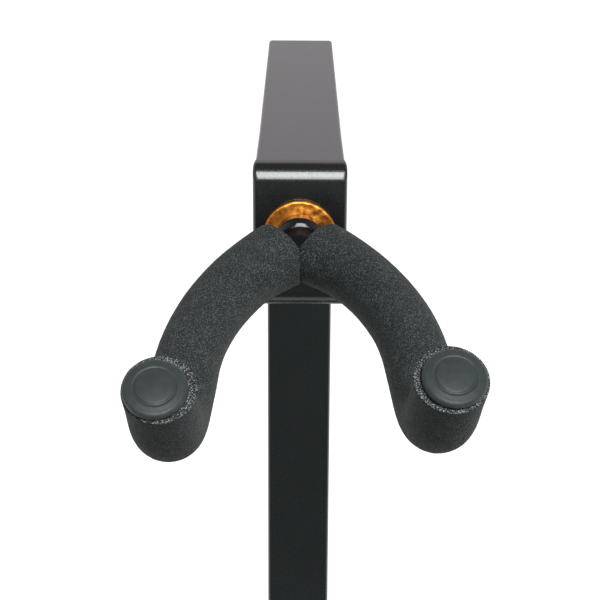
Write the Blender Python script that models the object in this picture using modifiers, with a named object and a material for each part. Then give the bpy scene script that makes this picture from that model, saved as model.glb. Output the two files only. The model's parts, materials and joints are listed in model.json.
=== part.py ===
"""Hanging guitar stand: flat base, telescoping mast, forward arm and a padded swivel yoke.

Metres, +Z up. The origin is on the floor under the middle of the base.
The mast stands behind it, at +Y, and the arm reaches forward, towards -Y.
"""

import math

import bmesh
import bpy
from mathutils import Matrix, Vector

# Clearance between pieces that touch
GAP = 0.0003

# Base plate and feet
BASE_WIDTH = 0.320
BASE_DEPTH = 0.450
BASE_THICKNESS = 0.005
BASE_CORNER_RADIUS = 0.045
BASE_EDGE_RADIUS = 0.0012
FOOT_DIAMETER = 0.030
FOOT_HEIGHT = 0.007
FOOT_TAPER = 0.002
FOOT_INSET = 0.040
FOOT_EDGE_RADIUS = 0.0012
FOOT_RECESS_CLEARANCE = 0.001
FOOT_SCREW_DIAMETER = 0.005
FOOT_SCREW_HEAD_DIAMETER = 0.0095
FOOT_SCREW_HEAD_HEIGHT = 0.0025
FOOT_SCREW_HEAD_CHAMFER = 0.0008
FOOT_SCREW_TIP_CHAMFER = 0.0005
FOOT_SCREW_SLOT_LENGTH = 0.007
FOOT_SCREW_SLOT_WIDTH = 0.0012
FOOT_SCREW_SLOT_DEPTH = 0.0012
FOOT_RECESS_DEPTH = 0.004
FOOT_SCREW_ENGAGEMENT = 0.0038

# Lower mast tube, its foot block and the two screws from below
MAST_INSET = 0.082
LOWER_TUBE_WIDTH = 0.040
LOWER_TUBE_DEPTH = 0.060
LOWER_TUBE_WALL = 0.002
LOWER_TUBE_CORNER = 0.003
LOWER_TUBE_LENGTH = 0.548
FOOT_BLOCK_HEIGHT = 0.025
MAST_SCREW_DIAMETER = 0.008
MAST_SCREW_HEAD_DIAMETER = 0.0155
MAST_SCREW_HEAD_HEIGHT = 0.0038
MAST_SCREW_HEAD_RIM = 0.0006
MAST_SCREW_TIP_CHAMFER = 0.0008
MAST_SCREW_SOCKET = 0.005
MAST_SCREW_SOCKET_DEPTH = 0.0025
MAST_SCREW_SPACING = 0.032
MAST_SCREW_ENGAGEMENT = 0.016

# Upper tube, used for the post and for the arm
TUBE_WIDTH = 0.030
TUBE_DEPTH = 0.050
TUBE_WALL = 0.0015
TUBE_CORNER = 0.002
ARM_TOP_HEIGHT = 1.110
ARM_REACH = 0.211
MAST_OVERLAP = 0.160

# Sliding fit of the mast
BUSH_LENGTH = 0.060
BUSH_FLANGE = 0.004
BUSH_EDGE_RADIUS = 0.0008
GLIDE_FLANGE = 0.006
GLIDE_PLUG_LENGTH = 0.025
GLIDE_PLUG_WALL = 0.003
GLIDE_PLUG_CORNER = 0.001

# Height clamp behind the mast
CLAMP_DROP = 0.030
CLAMP_SCREW_DIAMETER = 0.008
CLAMP_SCREW_CHAMFER = 0.001
CLAMP_BOSS_DIAMETER = 0.020
CLAMP_BOSS_LENGTH = 0.012
CLAMP_BOSS_CHAMFER = 0.001
CLAMP_THREAD_SHOWING = 0.006
CLAMP_PAD_DIAMETER = 0.0084
CLAMP_PAD_THICKNESS = 0.002
CLAMP_PAD_CHAMFER = 0.0003
CLAMP_HOLE_DIAMETER = 0.009
KNOB_DIAMETER = 0.046
KNOB_LOBES = 5
KNOB_LOBE_DEPTH = 0.0035
KNOB_THICKNESS = 0.014
KNOB_EDGE_RADIUS = 0.003
KNOB_HUB_DIAMETER = 0.021
KNOB_HUB_LENGTH = 0.009
KNOB_HUB_CHAMFER = 0.0012
KNOB_DISH_DIAMETER = 0.022
KNOB_DISH_DEPTH = 0.0015
KNOB_SCREW_DEPTH = 0.014

# End cap of the arm, a pressed steel tray
CAP_PROUD = 0.00075
CAP_LIP = 0.0015
CAP_LENGTH = 0.0125
CAP_SHOULDER = 0.0068
CAP_WALL = 0.0025
CAP_NOSE_RADIUS = 0.006
CAP_SIDE_RADIUS = 0.0012
CAP_PLAN_RADIUS = 0.0003
CAP_CAVITY_RADIUS = 0.003
CAP_TRIM = 0.004

# Bearing of the yoke stem, inside the arm
STEM_DIAMETER = 0.008
STEM_BOSS_DIAMETER = 0.020
STEM_BOSS_LENGTH = 0.024
BUSHING_WALL = 0.0018
BUSHING_FLANGE_DIAMETER = 0.017
BUSHING_FLANGE = 0.0015
THRUST_WASHER_DIAMETER = 0.0252
THRUST_WASHER_THICKNESS = 0.0015
THRUST_WASHER_CHAMFER = 0.0003
BACK_WASHER_DIAMETER = 0.016
BACK_WASHER_THICKNESS = 0.0016
SPRING_WASHER_DIAMETER = 0.0134
SPRING_WASHER_THICKNESS = 0.002
SPRING_WASHER_SLOT = 0.0012
NUT_ACROSS_FLATS = 0.013
NUT_HEIGHT = 0.0078
NUT_CHAMFER = 0.0004
STEM_TAIL = 0.003
STEM_CHAMFER = 0.001
RING_CHAMFER = 0.0004

# Collar and head of the stem, in front of the cap
COLLAR_DIAMETER = 0.0168
COLLAR_LENGTH = 0.0068
COLLAR_RIM_RADIUS = 0.003
COLLAR_BACK_CHAMFER = 0.0003
STEM_HEAD_DIAMETER = 0.0115
STEM_HEAD_NOSE = 0.0072
STEM_HEAD_EDGE = 0.0002

# Yoke rod: bent flat, its tips turned up, then drooped from the stem
ROD_DIAMETER = 0.008
YOKE_AHEAD = 0.015
YOKE_SPREAD = math.radians(44.5)
YOKE_SWEEP_RADIUS = 0.0965
YOKE_TOE = math.radians(5.0)
YOKE_STRAIGHT = 0.017
YOKE_UPTURN_RADIUS = 0.0265
YOKE_UPTURN = math.radians(68.0)
YOKE_TIP_STRAIGHT = 0.0145
YOKE_LEAN = math.radians(3.0)
YOKE_DROOP = math.radians(16.1)
YOKE_SET_ANGLE = math.radians(-2.3)

# Foam sleeves and their end caps
FOAM_DIAMETER = 0.020
TIP_CAP_DIAMETER = 0.0168
TIP_CAP_EDGE = 0.0022
TIP_CAP_EDGE_RADIUS = 0.0006
TIP_CAP_DOME = 0.0011
TIP_CAP_SOCKET = 0.0016
TIP_CAP_RING_DIAMETER = 0.0112
TIP_CAP_RING_WIDTH = 0.0007
TIP_CAP_RING_DEPTH = 0.0003

# Facets
ROUND_SEGMENTS = 26
SMALL_SEGMENTS = 16
FOOT_SEGMENTS = 20
BOLT_SEGMENTS = 12
WASHER_SEGMENTS = 40
CORNER_STEPS = 4
BASE_CORNER_STEPS = 9
NOSE_STEPS = 6
ROOT_STEPS = 6
SWEEP_STEPS = 10
UPTURN_STEPS = 8
KNOB_LOBE_STEPS = 8
ROD_BEVEL_RESOLUTION = 3
FOAM_BEVEL_RESOLUTION = 7
SMOOTH_ANGLE = 35.0
PLATE_EDGE_ANGLE = 60.0
CAP_EDGE_ANGLE = 40.0
MERGE_DISTANCE = 0.00001
OVERCUT = 0.001

# Levels and places that follow from the sizes above
BASE_BOTTOM = FOOT_HEIGHT + GAP
BASE_TOP = BASE_BOTTOM + BASE_THICKNESS
LOWER_TUBE_BOTTOM = BASE_TOP + GAP
LOWER_TUBE_TOP = LOWER_TUBE_BOTTOM + LOWER_TUBE_LENGTH
POST_BOTTOM = LOWER_TUBE_TOP - MAST_OVERLAP
MAST_SETBACK = BASE_DEPTH / 2 - MAST_INSET
POST_BACK = MAST_SETBACK + TUBE_DEPTH / 2
LOWER_TUBE_BACK = MAST_SETBACK + LOWER_TUBE_DEPTH / 2
CAP_FACE = MAST_SETBACK - ARM_REACH
STEM_HEIGHT = ARM_TOP_HEIGHT - TUBE_DEPTH / 2
CLAMP_HEIGHT = LOWER_TUBE_TOP - CLAMP_DROP
ARM_TUBE_FRONT = CAP_FACE + CAP_LENGTH + GAP
ROOT_BEND_RADIUS = FOAM_DIAMETER / 2 + GAP / (2 * math.cos(YOKE_SPREAD))
BUSHING_BORE = STEM_DIAMETER + 2 * GAP
BUSHING_DIAMETER = BUSHING_BORE + 2 * BUSHING_WALL
BUSHING_BACK = CAP_WALL + GAP + STEM_BOSS_LENGTH + GAP + BUSHING_FLANGE
COLLAR_BACK = 2 * GAP + THRUST_WASHER_THICKNESS
STEM_HEAD_BACK = COLLAR_BACK + COLLAR_LENGTH + GAP
BACK_WASHER_FRONT = BUSHING_BACK + GAP
SPRING_WASHER_FRONT = BACK_WASHER_FRONT + BACK_WASHER_THICKNESS + GAP
NUT_FRONT = SPRING_WASHER_FRONT + SPRING_WASHER_THICKNESS + GAP
STEM_BACK = NUT_FRONT + NUT_HEIGHT + STEM_TAIL

FORWARD = Matrix.Rotation(math.radians(90.0), 4, "X")
BACKWARD = Matrix.Rotation(math.radians(-90.0), 4, "X")


def clear_scene():
    for item in list(bpy.data.objects):
        bpy.data.objects.remove(item, do_unlink=True)


def new_collection(name):
    collection = bpy.data.collections.new(name)
    bpy.context.scene.collection.children.link(collection)
    return collection


def new_material(name, colour, roughness, metallic):
    material = bpy.data.materials.new(name)
    material.use_nodes = True
    shader = material.node_tree.nodes["Principled BSDF"]
    shader.inputs["Base Color"].default_value = (*colour, 1.0)
    shader.inputs["Roughness"].default_value = roughness
    shader.inputs["Metallic"].default_value = metallic
    return material


def add_part(name, mesh, material, matrix=None, parent=None):
    part = bpy.data.objects.new(name, mesh)
    mesh.materials.append(material)
    PARTS.objects.link(part)
    part.parent = parent
    if matrix is not None:
        part.matrix_local = matrix
    return part


def add_copy(name, mesh, matrix):
    """Object that shares its mesh with the other copies of a piece."""
    copy = bpy.data.objects.new(name, mesh)
    PARTS.objects.link(copy)
    copy.matrix_local = matrix
    return copy


def add_cutter(name, mesh, matrix=None, parent=None):
    cutter = bpy.data.objects.new(name, mesh)
    CUTTERS.objects.link(cutter)
    cutter.parent = parent
    cutter.hide_render = True
    cutter.display_type = "WIRE"
    if matrix is not None:
        cutter.matrix_local = matrix
    return cutter


def combine(part, cutter, operation="DIFFERENCE"):
    boolean = part.modifiers.new(cutter.name, "BOOLEAN")
    boolean.operation = operation
    boolean.solver = "EXACT"
    boolean.object = cutter


def bevel(part, width, segments, angle=SMOOTH_ANGLE):
    modifier = part.modifiers.new("edges", "BEVEL")
    modifier.width = width
    modifier.segments = segments
    modifier.limit_method = "ANGLE"
    modifier.angle_limit = math.radians(angle)
    return modifier


def at(x, y, z):
    return Matrix.Translation((x, y, z))


def box_mesh(name, width, depth, height):
    bm = bmesh.new()
    bmesh.ops.create_cube(bm, size=1.0)
    bmesh.ops.scale(bm, vec=(width, depth, height), verts=bm.verts)
    mesh = bpy.data.meshes.new(name)
    bm.to_mesh(mesh)
    bm.free()
    return mesh


def rod_mesh(name, diameter, length, sides=SMALL_SEGMENTS):
    """Cylinder on Z, its middle at the origin."""
    bm = bmesh.new()
    radius = diameter / 2
    bmesh.ops.create_cone(
        bm, cap_ends=True, segments=sides, radius1=radius, radius2=radius, depth=length
    )
    mesh = bpy.data.meshes.new(name)
    bm.to_mesh(mesh)
    bm.free()
    return mesh


def arc(centre_x, centre_y, radius, start, end, steps):
    """Points on a circle from one angle to another, in degrees, ends included."""
    points = []
    for step in range(steps + 1):
        angle = math.radians(start + (end - start) * step / steps)
        x = centre_x + radius * math.cos(angle)
        y = centre_y + radius * math.sin(angle)
        points.append((x, y))
    return points


def rounded_rectangle(width, depth, radius, steps=CORNER_STEPS):
    x = width / 2 - radius
    y = depth / 2 - radius
    points = arc(x, y, radius, 0, 90, steps)
    points += arc(-x, y, radius, 90, 180, steps)
    points += arc(-x, -y, radius, 180, 270, steps)
    points += arc(x, -y, radius, 270, 360, steps)
    return points


def curve_to_mesh(curve_object, name):
    """Mesh of a curve object, its caps welded to its sides. The curve object is removed."""
    bpy.context.view_layer.update()
    depsgraph = bpy.context.evaluated_depsgraph_get()
    mesh = bpy.data.meshes.new_from_object(curve_object.evaluated_get(depsgraph))
    mesh.name = name
    bm = bmesh.new()
    bm.from_mesh(mesh)
    bmesh.ops.remove_doubles(bm, verts=bm.verts, dist=MERGE_DISTANCE)
    bmesh.ops.recalc_face_normals(bm, faces=bm.faces)
    bm.to_mesh(mesh)
    bm.free()
    mesh.materials.clear()
    bpy.data.objects.remove(curve_object, do_unlink=True)
    return mesh


def slab_mesh(name, outlines, thickness):
    """Flat outlines, the second and later ones holes, extruded along Z about the origin."""
    curve = bpy.data.curves.new(name, "CURVE")
    curve.dimensions = "2D"
    curve.fill_mode = "BOTH"
    curve.extrude = thickness / 2
    for outline in outlines:
        spline = curve.splines.new("POLY")
        spline.points.add(len(outline) - 1)
        for point, (x, y) in zip(spline.points, outline):
            point.co = (x, y, 0.0, 1.0)
        spline.use_cyclic_u = True
    holder = bpy.data.objects.new(name, curve)
    CUTTERS.objects.link(holder)
    return curve_to_mesh(holder, name)


def swept_mesh(name, points, diameter, resolution):
    """Round bar along a row of points, with closed ends."""
    curve = bpy.data.curves.new(name, "CURVE")
    curve.dimensions = "3D"
    curve.bevel_depth = diameter / 2
    curve.bevel_resolution = resolution
    curve.use_fill_caps = True
    spline = curve.splines.new("POLY")
    spline.points.add(len(points) - 1)
    for point, place in zip(spline.points, points):
        point.co = (*place, 1.0)
    holder = bpy.data.objects.new(name, curve)
    CUTTERS.objects.link(holder)
    mesh = curve_to_mesh(holder, name)
    shade(mesh)
    return mesh


def shade(mesh, angle=SMOOTH_ANGLE):
    mesh.shade_smooth()
    mesh.set_sharp_from_angle(angle=math.radians(angle))


def turned(name, profile, closed=False):
    """Mesh holding a profile of radius and height, which runs down its outer side."""
    bm = bmesh.new()
    verts = [bm.verts.new((radius, 0.0, height)) for radius, height in profile]
    for first, second in zip(verts, verts[1:]):
        bm.edges.new((first, second))
    if closed:
        bm.edges.new((verts[-1], verts[0]))
    mesh = bpy.data.meshes.new(name)
    bm.to_mesh(mesh)
    bm.free()
    return mesh


def screw(part, segments=ROUND_SEGMENTS):
    modifier = part.modifiers.new("turn", "SCREW")
    modifier.steps = segments
    modifier.render_steps = segments
    modifier.use_merge_vertices = True
    modifier.merge_threshold = MERGE_DISTANCE
    modifier.use_smooth_shade = True
    return part


def turned_part(
    name, profile, material, matrix, parent=None, closed=False, segments=ROUND_SEGMENTS
):
    mesh = turned(name, profile, closed)
    return screw(add_part(name, mesh, material, matrix, parent), segments)


def turned_cutter(name, profile, matrix, parent=None, segments=ROUND_SEGMENTS):
    return screw(add_cutter(name, turned(name, profile), matrix, parent), segments)


def ring_profile(outer, inner, top, bottom, chamfer=RING_CHAMFER):
    """Closed profile of a ring, its outer edges chamfered."""
    return [
        (inner / 2, top),
        (outer / 2 - chamfer, top),
        (outer / 2, top - chamfer),
        (outer / 2, bottom + chamfer),
        (outer / 2 - chamfer, bottom),
        (inner / 2, bottom),
    ]


def evaluated_mesh(holder, name):
    """Mesh of an object with its modifiers applied. The object is removed."""
    bpy.context.view_layer.update()
    depsgraph = bpy.context.evaluated_depsgraph_get()
    mesh = bpy.data.meshes.new_from_object(holder.evaluated_get(depsgraph))
    mesh.name = name
    mesh.materials.clear()
    bpy.data.objects.remove(holder, do_unlink=True)
    return mesh


def foot_places():
    x = BASE_WIDTH / 2 - FOOT_INSET
    y = BASE_DEPTH / 2 - FOOT_INSET
    return {
        "front_left": (-x, -y),
        "front_right": (x, -y),
        "rear_left": (-x, y),
        "rear_right": (x, y),
    }


def mast_screw_places():
    return {
        "front": (0.0, MAST_SETBACK - MAST_SCREW_SPACING / 2),
        "rear": (0.0, MAST_SETBACK + MAST_SCREW_SPACING / 2),
    }


def countersunk_profile(clearance, length):
    """Countersunk screw from its tip, at the top, down to its flat head at height 0."""
    shank = MAST_SCREW_DIAMETER / 2 + clearance
    head = MAST_SCREW_HEAD_DIAMETER / 2 + clearance
    tip = length + clearance
    return [
        (0.0, tip),
        (shank - MAST_SCREW_TIP_CHAMFER, tip),
        (shank, tip - MAST_SCREW_TIP_CHAMFER),
        (shank, MAST_SCREW_HEAD_HEIGHT + clearance),
        (head, MAST_SCREW_HEAD_RIM),
        (head, 0.0),
        (0.0, 0.0),
    ]


def make_base():
    outline = rounded_rectangle(BASE_WIDTH, BASE_DEPTH, BASE_CORNER_RADIUS, BASE_CORNER_STEPS)
    mesh = slab_mesh("base_plate", [outline], BASE_THICKNESS)
    middle = at(0.0, 0.0, (BASE_BOTTOM + BASE_TOP) / 2)
    plate = add_part("base_plate", mesh, POWDER_COAT, middle)
    bevel(plate, BASE_EDGE_RADIUS, 2, PLATE_EDGE_ANGLE)
    length = MAST_SCREW_ENGAGEMENT + BASE_THICKNESS
    for word, (x, y) in mast_screw_places().items():
        profile = countersunk_profile(GAP, length)
        profile[-2:] = [(profile[-2][0], -OVERCUT), (0.0, -OVERCUT)]
        place = at(x, y, BASE_BOTTOM)
        name = f"mast_screw_hole_{word}"
        combine(plate, turned_cutter(name, profile, place, segments=SMALL_SEGMENTS))
    depth = FOOT_SCREW_ENGAGEMENT + OVERCUT
    for word, (x, y) in foot_places().items():
        bore = FOOT_SCREW_DIAMETER + 2 * GAP
        hole = rod_mesh("foot_screw_hole", bore, depth + OVERCUT, BOLT_SEGMENTS)
        middle = at(x, y, BASE_BOTTOM + (depth - OVERCUT) / 2 - GAP)
        combine(plate, add_cutter(f"foot_screw_hole_{word}", hole, middle))


def make_feet():
    radius = FOOT_DIAMETER / 2
    recess = FOOT_SCREW_HEAD_DIAMETER / 2 + FOOT_RECESS_CLEARANCE
    bore = FOOT_SCREW_DIAMETER / 2 + GAP
    round_over = FOOT_EDGE_RADIUS
    profile = [(bore, FOOT_HEIGHT), (radius - FOOT_TAPER, FOOT_HEIGHT)]
    profile += arc(radius - round_over, round_over, round_over, 0, -90, 2)
    profile += [(recess, 0.0), (recess, FOOT_RECESS_DEPTH), (bore, FOOT_RECESS_DEPTH)]
    foot = screw(add_part("foot", turned("foot", profile, True), RUBBER), FOOT_SEGMENTS)
    foot_mesh = evaluated_mesh(foot, "foot")
    foot_mesh.materials.append(RUBBER)
    for word, (x, y) in foot_places().items():
        add_copy(f"rubber_foot_{word}", foot_mesh, at(x, y, 0.0))

    head_top = FOOT_RECESS_DEPTH - GAP
    head_bottom = head_top - FOOT_SCREW_HEAD_HEIGHT
    tip = BASE_BOTTOM + FOOT_SCREW_ENGAGEMENT - GAP
    shank = FOOT_SCREW_DIAMETER / 2
    head = FOOT_SCREW_HEAD_DIAMETER / 2
    profile = [
        (0.0, tip),
        (shank - FOOT_SCREW_TIP_CHAMFER, tip),
        (shank, tip - FOOT_SCREW_TIP_CHAMFER),
        (shank, head_top),
        (head, head_top),
        (head, head_bottom + FOOT_SCREW_HEAD_CHAMFER),
        (head - FOOT_SCREW_HEAD_CHAMFER, head_bottom),
        (0.0, head_bottom),
    ]
    bolt = screw(add_part("foot_screw", turned("foot_screw", profile), ZINC), BOLT_SEGMENTS)
    slot = box_mesh("slot", FOOT_SCREW_SLOT_LENGTH, FOOT_SCREW_SLOT_WIDTH, 2 * FOOT_SCREW_SLOT_DEPTH)
    combine(bolt, add_cutter("foot_screw_slot", slot, at(0.0, 0.0, head_bottom)))
    bolt_mesh = evaluated_mesh(bolt, "foot_screw")
    bolt_mesh.materials.append(ZINC)
    for word, (x, y) in foot_places().items():
        add_copy(f"foot_screw_{word}", bolt_mesh, at(x, y, 0.0))


def make_lower_mast():
    inner_width = LOWER_TUBE_WIDTH - 2 * LOWER_TUBE_WALL
    inner_depth = LOWER_TUBE_DEPTH - 2 * LOWER_TUBE_WALL
    inner_corner = LOWER_TUBE_CORNER - LOWER_TUBE_WALL
    outlines = [
        rounded_rectangle(LOWER_TUBE_WIDTH, LOWER_TUBE_DEPTH, LOWER_TUBE_CORNER),
        rounded_rectangle(inner_width, inner_depth, inner_corner),
    ]
    mesh = slab_mesh("lower_mast_tube", outlines, LOWER_TUBE_LENGTH)
    shade(mesh)
    middle = (LOWER_TUBE_BOTTOM + LOWER_TUBE_TOP) / 2
    tube = add_part("lower_mast_tube", mesh, POWDER_COAT, at(0.0, MAST_SETBACK, middle))
    combine(tube, clamp_hole("tube_clamp_hole"))

    block_width = inner_width - 2 * GAP
    block_depth = inner_depth - 2 * GAP
    outline = rounded_rectangle(block_width, block_depth, inner_corner)
    mesh = slab_mesh("foot_block", [outline], FOOT_BLOCK_HEIGHT)
    middle = LOWER_TUBE_BOTTOM + FOOT_BLOCK_HEIGHT / 2
    block = add_part("foot_block", mesh, STEEL, at(0.0, MAST_SETBACK, middle))
    length = MAST_SCREW_ENGAGEMENT + BASE_THICKNESS
    for word, (x, y) in mast_screw_places().items():
        profile = countersunk_profile(GAP, length)
        place = at(x, y, BASE_BOTTOM)
        name = f"block_hole_{word}"
        combine(block, turned_cutter(name, profile, place, segments=SMALL_SEGMENTS))

    profile = countersunk_profile(0.0, length)
    bolt = add_part("mast_screw", turned("mast_screw", profile), ZINC)
    screw(bolt, SMALL_SEGMENTS)
    across_corners = MAST_SCREW_SOCKET / math.cos(math.pi / 6)
    socket = rod_mesh("socket", across_corners, 2 * MAST_SCREW_SOCKET_DEPTH, 6)
    combine(bolt, add_cutter("mast_screw_socket", socket))
    bolt_mesh = evaluated_mesh(bolt, "mast_screw")
    bolt_mesh.materials.append(ZINC)
    for word, (x, y) in mast_screw_places().items():
        add_copy(f"mast_screw_{word}", bolt_mesh, at(x, y, BASE_BOTTOM))


def clamp_hole(name):
    """Cutter for the clamp's hole, from the bore to behind the tube's rear wall."""
    start = POST_BACK
    end = LOWER_TUBE_BACK + OVERCUT
    hole = rod_mesh(name, CLAMP_HOLE_DIAMETER, end - start)
    return add_cutter(name, hole, at(0.0, (start + end) / 2, CLAMP_HEIGHT) @ BACKWARD)


def make_mast_bush():
    """Plastic sleeve between the two tubes, with a rim on the lower tube's end."""
    inner_width = TUBE_WIDTH + 2 * GAP
    inner_depth = TUBE_DEPTH + 2 * GAP
    bore = rounded_rectangle(inner_width, inner_depth, TUBE_CORNER)
    liner_width = LOWER_TUBE_WIDTH - 2 * LOWER_TUBE_WALL - 2 * GAP
    liner_depth = LOWER_TUBE_DEPTH - 2 * LOWER_TUBE_WALL - 2 * GAP
    liner_corner = LOWER_TUBE_CORNER - LOWER_TUBE_WALL
    rim = rounded_rectangle(LOWER_TUBE_WIDTH, LOWER_TUBE_DEPTH, LOWER_TUBE_CORNER)
    rim_bottom = LOWER_TUBE_TOP + GAP
    rim_mesh = slab_mesh("mast_bush", [rim], BUSH_FLANGE)
    rim_middle = rim_bottom + BUSH_FLANGE / 2
    bush = add_part("mast_bush", rim_mesh, PLASTIC, at(0.0, MAST_SETBACK, rim_middle))
    bevel(bush, BUSH_EDGE_RADIUS, 2, PLATE_EDGE_ANGLE)
    liner_top = rim_bottom + BUSH_FLANGE / 2
    liner_bottom = LOWER_TUBE_TOP - BUSH_LENGTH
    liner_height = liner_top - liner_bottom
    outline = rounded_rectangle(liner_width, liner_depth, liner_corner)
    liner = slab_mesh("liner", [outline], liner_height)
    liner_place = at(0.0, MAST_SETBACK, (liner_top + liner_bottom) / 2)
    combine(bush, add_cutter("bush_liner", liner, liner_place), "UNION")
    through = slab_mesh("bush_bore", [bore], BUSH_LENGTH + 4 * BUSH_FLANGE)
    combine(bush, add_cutter("bush_bore", through, liner_place))
    combine(bush, clamp_hole("bush_clamp_hole"))


def make_clamp():
    """Boss on the rear of the lower tube, and the pad, screw and knob that go in it."""
    axis = at(0.0, LOWER_TUBE_BACK, CLAMP_HEIGHT) @ BACKWARD
    bore = CLAMP_SCREW_DIAMETER + 2 * GAP
    boss_back = GAP + CLAMP_BOSS_LENGTH
    profile = ring_profile(CLAMP_BOSS_DIAMETER, bore, boss_back, GAP, CLAMP_BOSS_CHAMFER)
    turned_part("clamp_boss", profile, POWDER_COAT, axis, closed=True)

    slide = bpy.data.objects.new("clamp_axis", None)
    slide.matrix_world = axis
    PARTS.objects.link(slide)
    pad_front = POST_BACK + GAP - LOWER_TUBE_BACK
    pad_back = pad_front + CLAMP_PAD_THICKNESS
    radius = CLAMP_PAD_DIAMETER / 2
    profile = [
        (0.0, pad_back),
        (radius - CLAMP_PAD_CHAMFER, pad_back),
        (radius, pad_back - CLAMP_PAD_CHAMFER),
        (radius, pad_front + CLAMP_PAD_CHAMFER),
        (radius - CLAMP_PAD_CHAMFER, pad_front),
        (0.0, pad_front),
    ]
    turned_part("clamp_pad", profile, NYLON, None, slide, segments=SMALL_SEGMENTS)

    knob_front = boss_back + CLAMP_THREAD_SHOWING
    screw_front = pad_back + GAP
    screw_back = knob_front + KNOB_SCREW_DEPTH
    radius = CLAMP_SCREW_DIAMETER / 2
    profile = [
        (0.0, screw_back),
        (radius, screw_back),
        (radius, screw_front + CLAMP_SCREW_CHAMFER),
        (radius - CLAMP_SCREW_CHAMFER, screw_front),
        (0.0, screw_front),
    ]
    turned_part("clamp_screw", profile, ZINC, None, slide, segments=SMALL_SEGMENTS)
    make_knob(slide, knob_front)


def make_knob(parent, front):
    """Lobed grip with a round hub towards the mast and a shallow dish behind."""
    outline = []
    count = KNOB_LOBES * KNOB_LOBE_STEPS
    for step in range(count):
        angle = 2 * math.pi * step / count
        radius = KNOB_DIAMETER / 2 - KNOB_LOBE_DEPTH * (1 - math.cos(KNOB_LOBES * angle)) / 2
        outline.append((radius * math.cos(angle), radius * math.sin(angle)))
    mesh = slab_mesh("clamp_knob", [outline], KNOB_THICKNESS)
    shade(mesh)
    grip_front = front + KNOB_HUB_LENGTH
    middle = at(0.0, 0.0, grip_front + KNOB_THICKNESS / 2)
    knob = add_part("clamp_knob", mesh, PLASTIC, middle, parent)
    bevel(knob, KNOB_EDGE_RADIUS, 2, PLATE_EDGE_ANGLE)
    hub_top = grip_front + KNOB_THICKNESS / 2
    hub = turned_cutter(
        "knob_hub",
        [
            (0.0, hub_top),
            (KNOB_HUB_DIAMETER / 2, hub_top),
            (KNOB_HUB_DIAMETER / 2, grip_front),
            (KNOB_HUB_DIAMETER / 2 - KNOB_HUB_CHAMFER, front),
            (0.0, front),
        ],
        None,
        parent,
    )
    combine(knob, hub, "UNION")
    back = grip_front + KNOB_THICKNESS
    dish = turned_cutter(
        "knob_dish",
        [
            (0.0, back + OVERCUT),
            (KNOB_DISH_DIAMETER / 2 + OVERCUT, back + OVERCUT),
            (KNOB_DISH_DIAMETER / 2 - KNOB_DISH_DEPTH, back - KNOB_DISH_DEPTH),
            (0.0, back - KNOB_DISH_DEPTH),
        ],
        None,
        parent,
    )
    combine(knob, dish)
    depth = KNOB_SCREW_DEPTH + GAP + OVERCUT
    bore = rod_mesh("knob_bore", CLAMP_SCREW_DIAMETER + 2 * GAP, depth)
    combine(knob, add_cutter("knob_bore", bore, at(0.0, 0.0, front - OVERCUT + depth / 2), parent))


def make_lower_glide():
    """Moulded foot of the upper tube: a sliding plate with a hollow plug above it."""
    plate_width = LOWER_TUBE_WIDTH - 2 * LOWER_TUBE_WALL - 2 * GAP
    plate_depth = LOWER_TUBE_DEPTH - 2 * LOWER_TUBE_WALL - 2 * GAP
    corner = LOWER_TUBE_CORNER - LOWER_TUBE_WALL
    plate_top = POST_BOTTOM - GAP
    outline = rounded_rectangle(plate_width, plate_depth, corner)
    plate = slab_mesh("lower_glide", [outline], GLIDE_FLANGE)
    place = at(0.0, MAST_SETBACK, plate_top - GLIDE_FLANGE / 2)
    glide = add_part("lower_glide", plate, NYLON, place)
    plug_width = TUBE_WIDTH - 2 * TUBE_WALL - 2 * GAP
    plug_depth = TUBE_DEPTH - 2 * TUBE_WALL - 2 * GAP
    plug_corner = TUBE_CORNER - TUBE_WALL + GAP
    plug_bottom = plate_top - GLIDE_FLANGE / 2
    plug_top = plate_top + GLIDE_PLUG_LENGTH
    hollow_width = plug_width - 2 * GLIDE_PLUG_WALL
    hollow_depth = plug_depth - 2 * GLIDE_PLUG_WALL
    outlines = [
        rounded_rectangle(plug_width, plug_depth, plug_corner),
        rounded_rectangle(hollow_width, hollow_depth, GLIDE_PLUG_CORNER),
    ]
    plug = slab_mesh("glide_plug", outlines, plug_top - plug_bottom)
    place = at(0.0, MAST_SETBACK, (plug_top + plug_bottom) / 2)
    combine(glide, add_cutter("glide_plug", plug, place), "UNION")


def upper_tube_mesh(name, length):
    inner_width = TUBE_WIDTH - 2 * TUBE_WALL
    inner_depth = TUBE_DEPTH - 2 * TUBE_WALL
    outlines = [
        rounded_rectangle(TUBE_WIDTH, TUBE_DEPTH, TUBE_CORNER),
        rounded_rectangle(inner_width, inner_depth, TUBE_CORNER - TUBE_WALL),
    ]
    mesh = slab_mesh(name, outlines, length)
    shade(mesh)
    return mesh


def mitre_cutter(name, side):
    """Block with a face on the corner's diagonal: side -1 takes the arm's half, 1 the post's."""
    size = 4 * TUBE_DEPTH
    corner = Vector((0.0, POST_BACK, ARM_TOP_HEIGHT))
    normal = Vector((0.0, -1.0, 1.0)).normalized()
    middle = corner + normal * side * -(size / 2 - GAP / 2)
    place = Matrix.Translation(middle) @ Matrix.Rotation(math.radians(45.0), 4, "X")
    return add_cutter(name, box_mesh(name, size, size, size), place)


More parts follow.
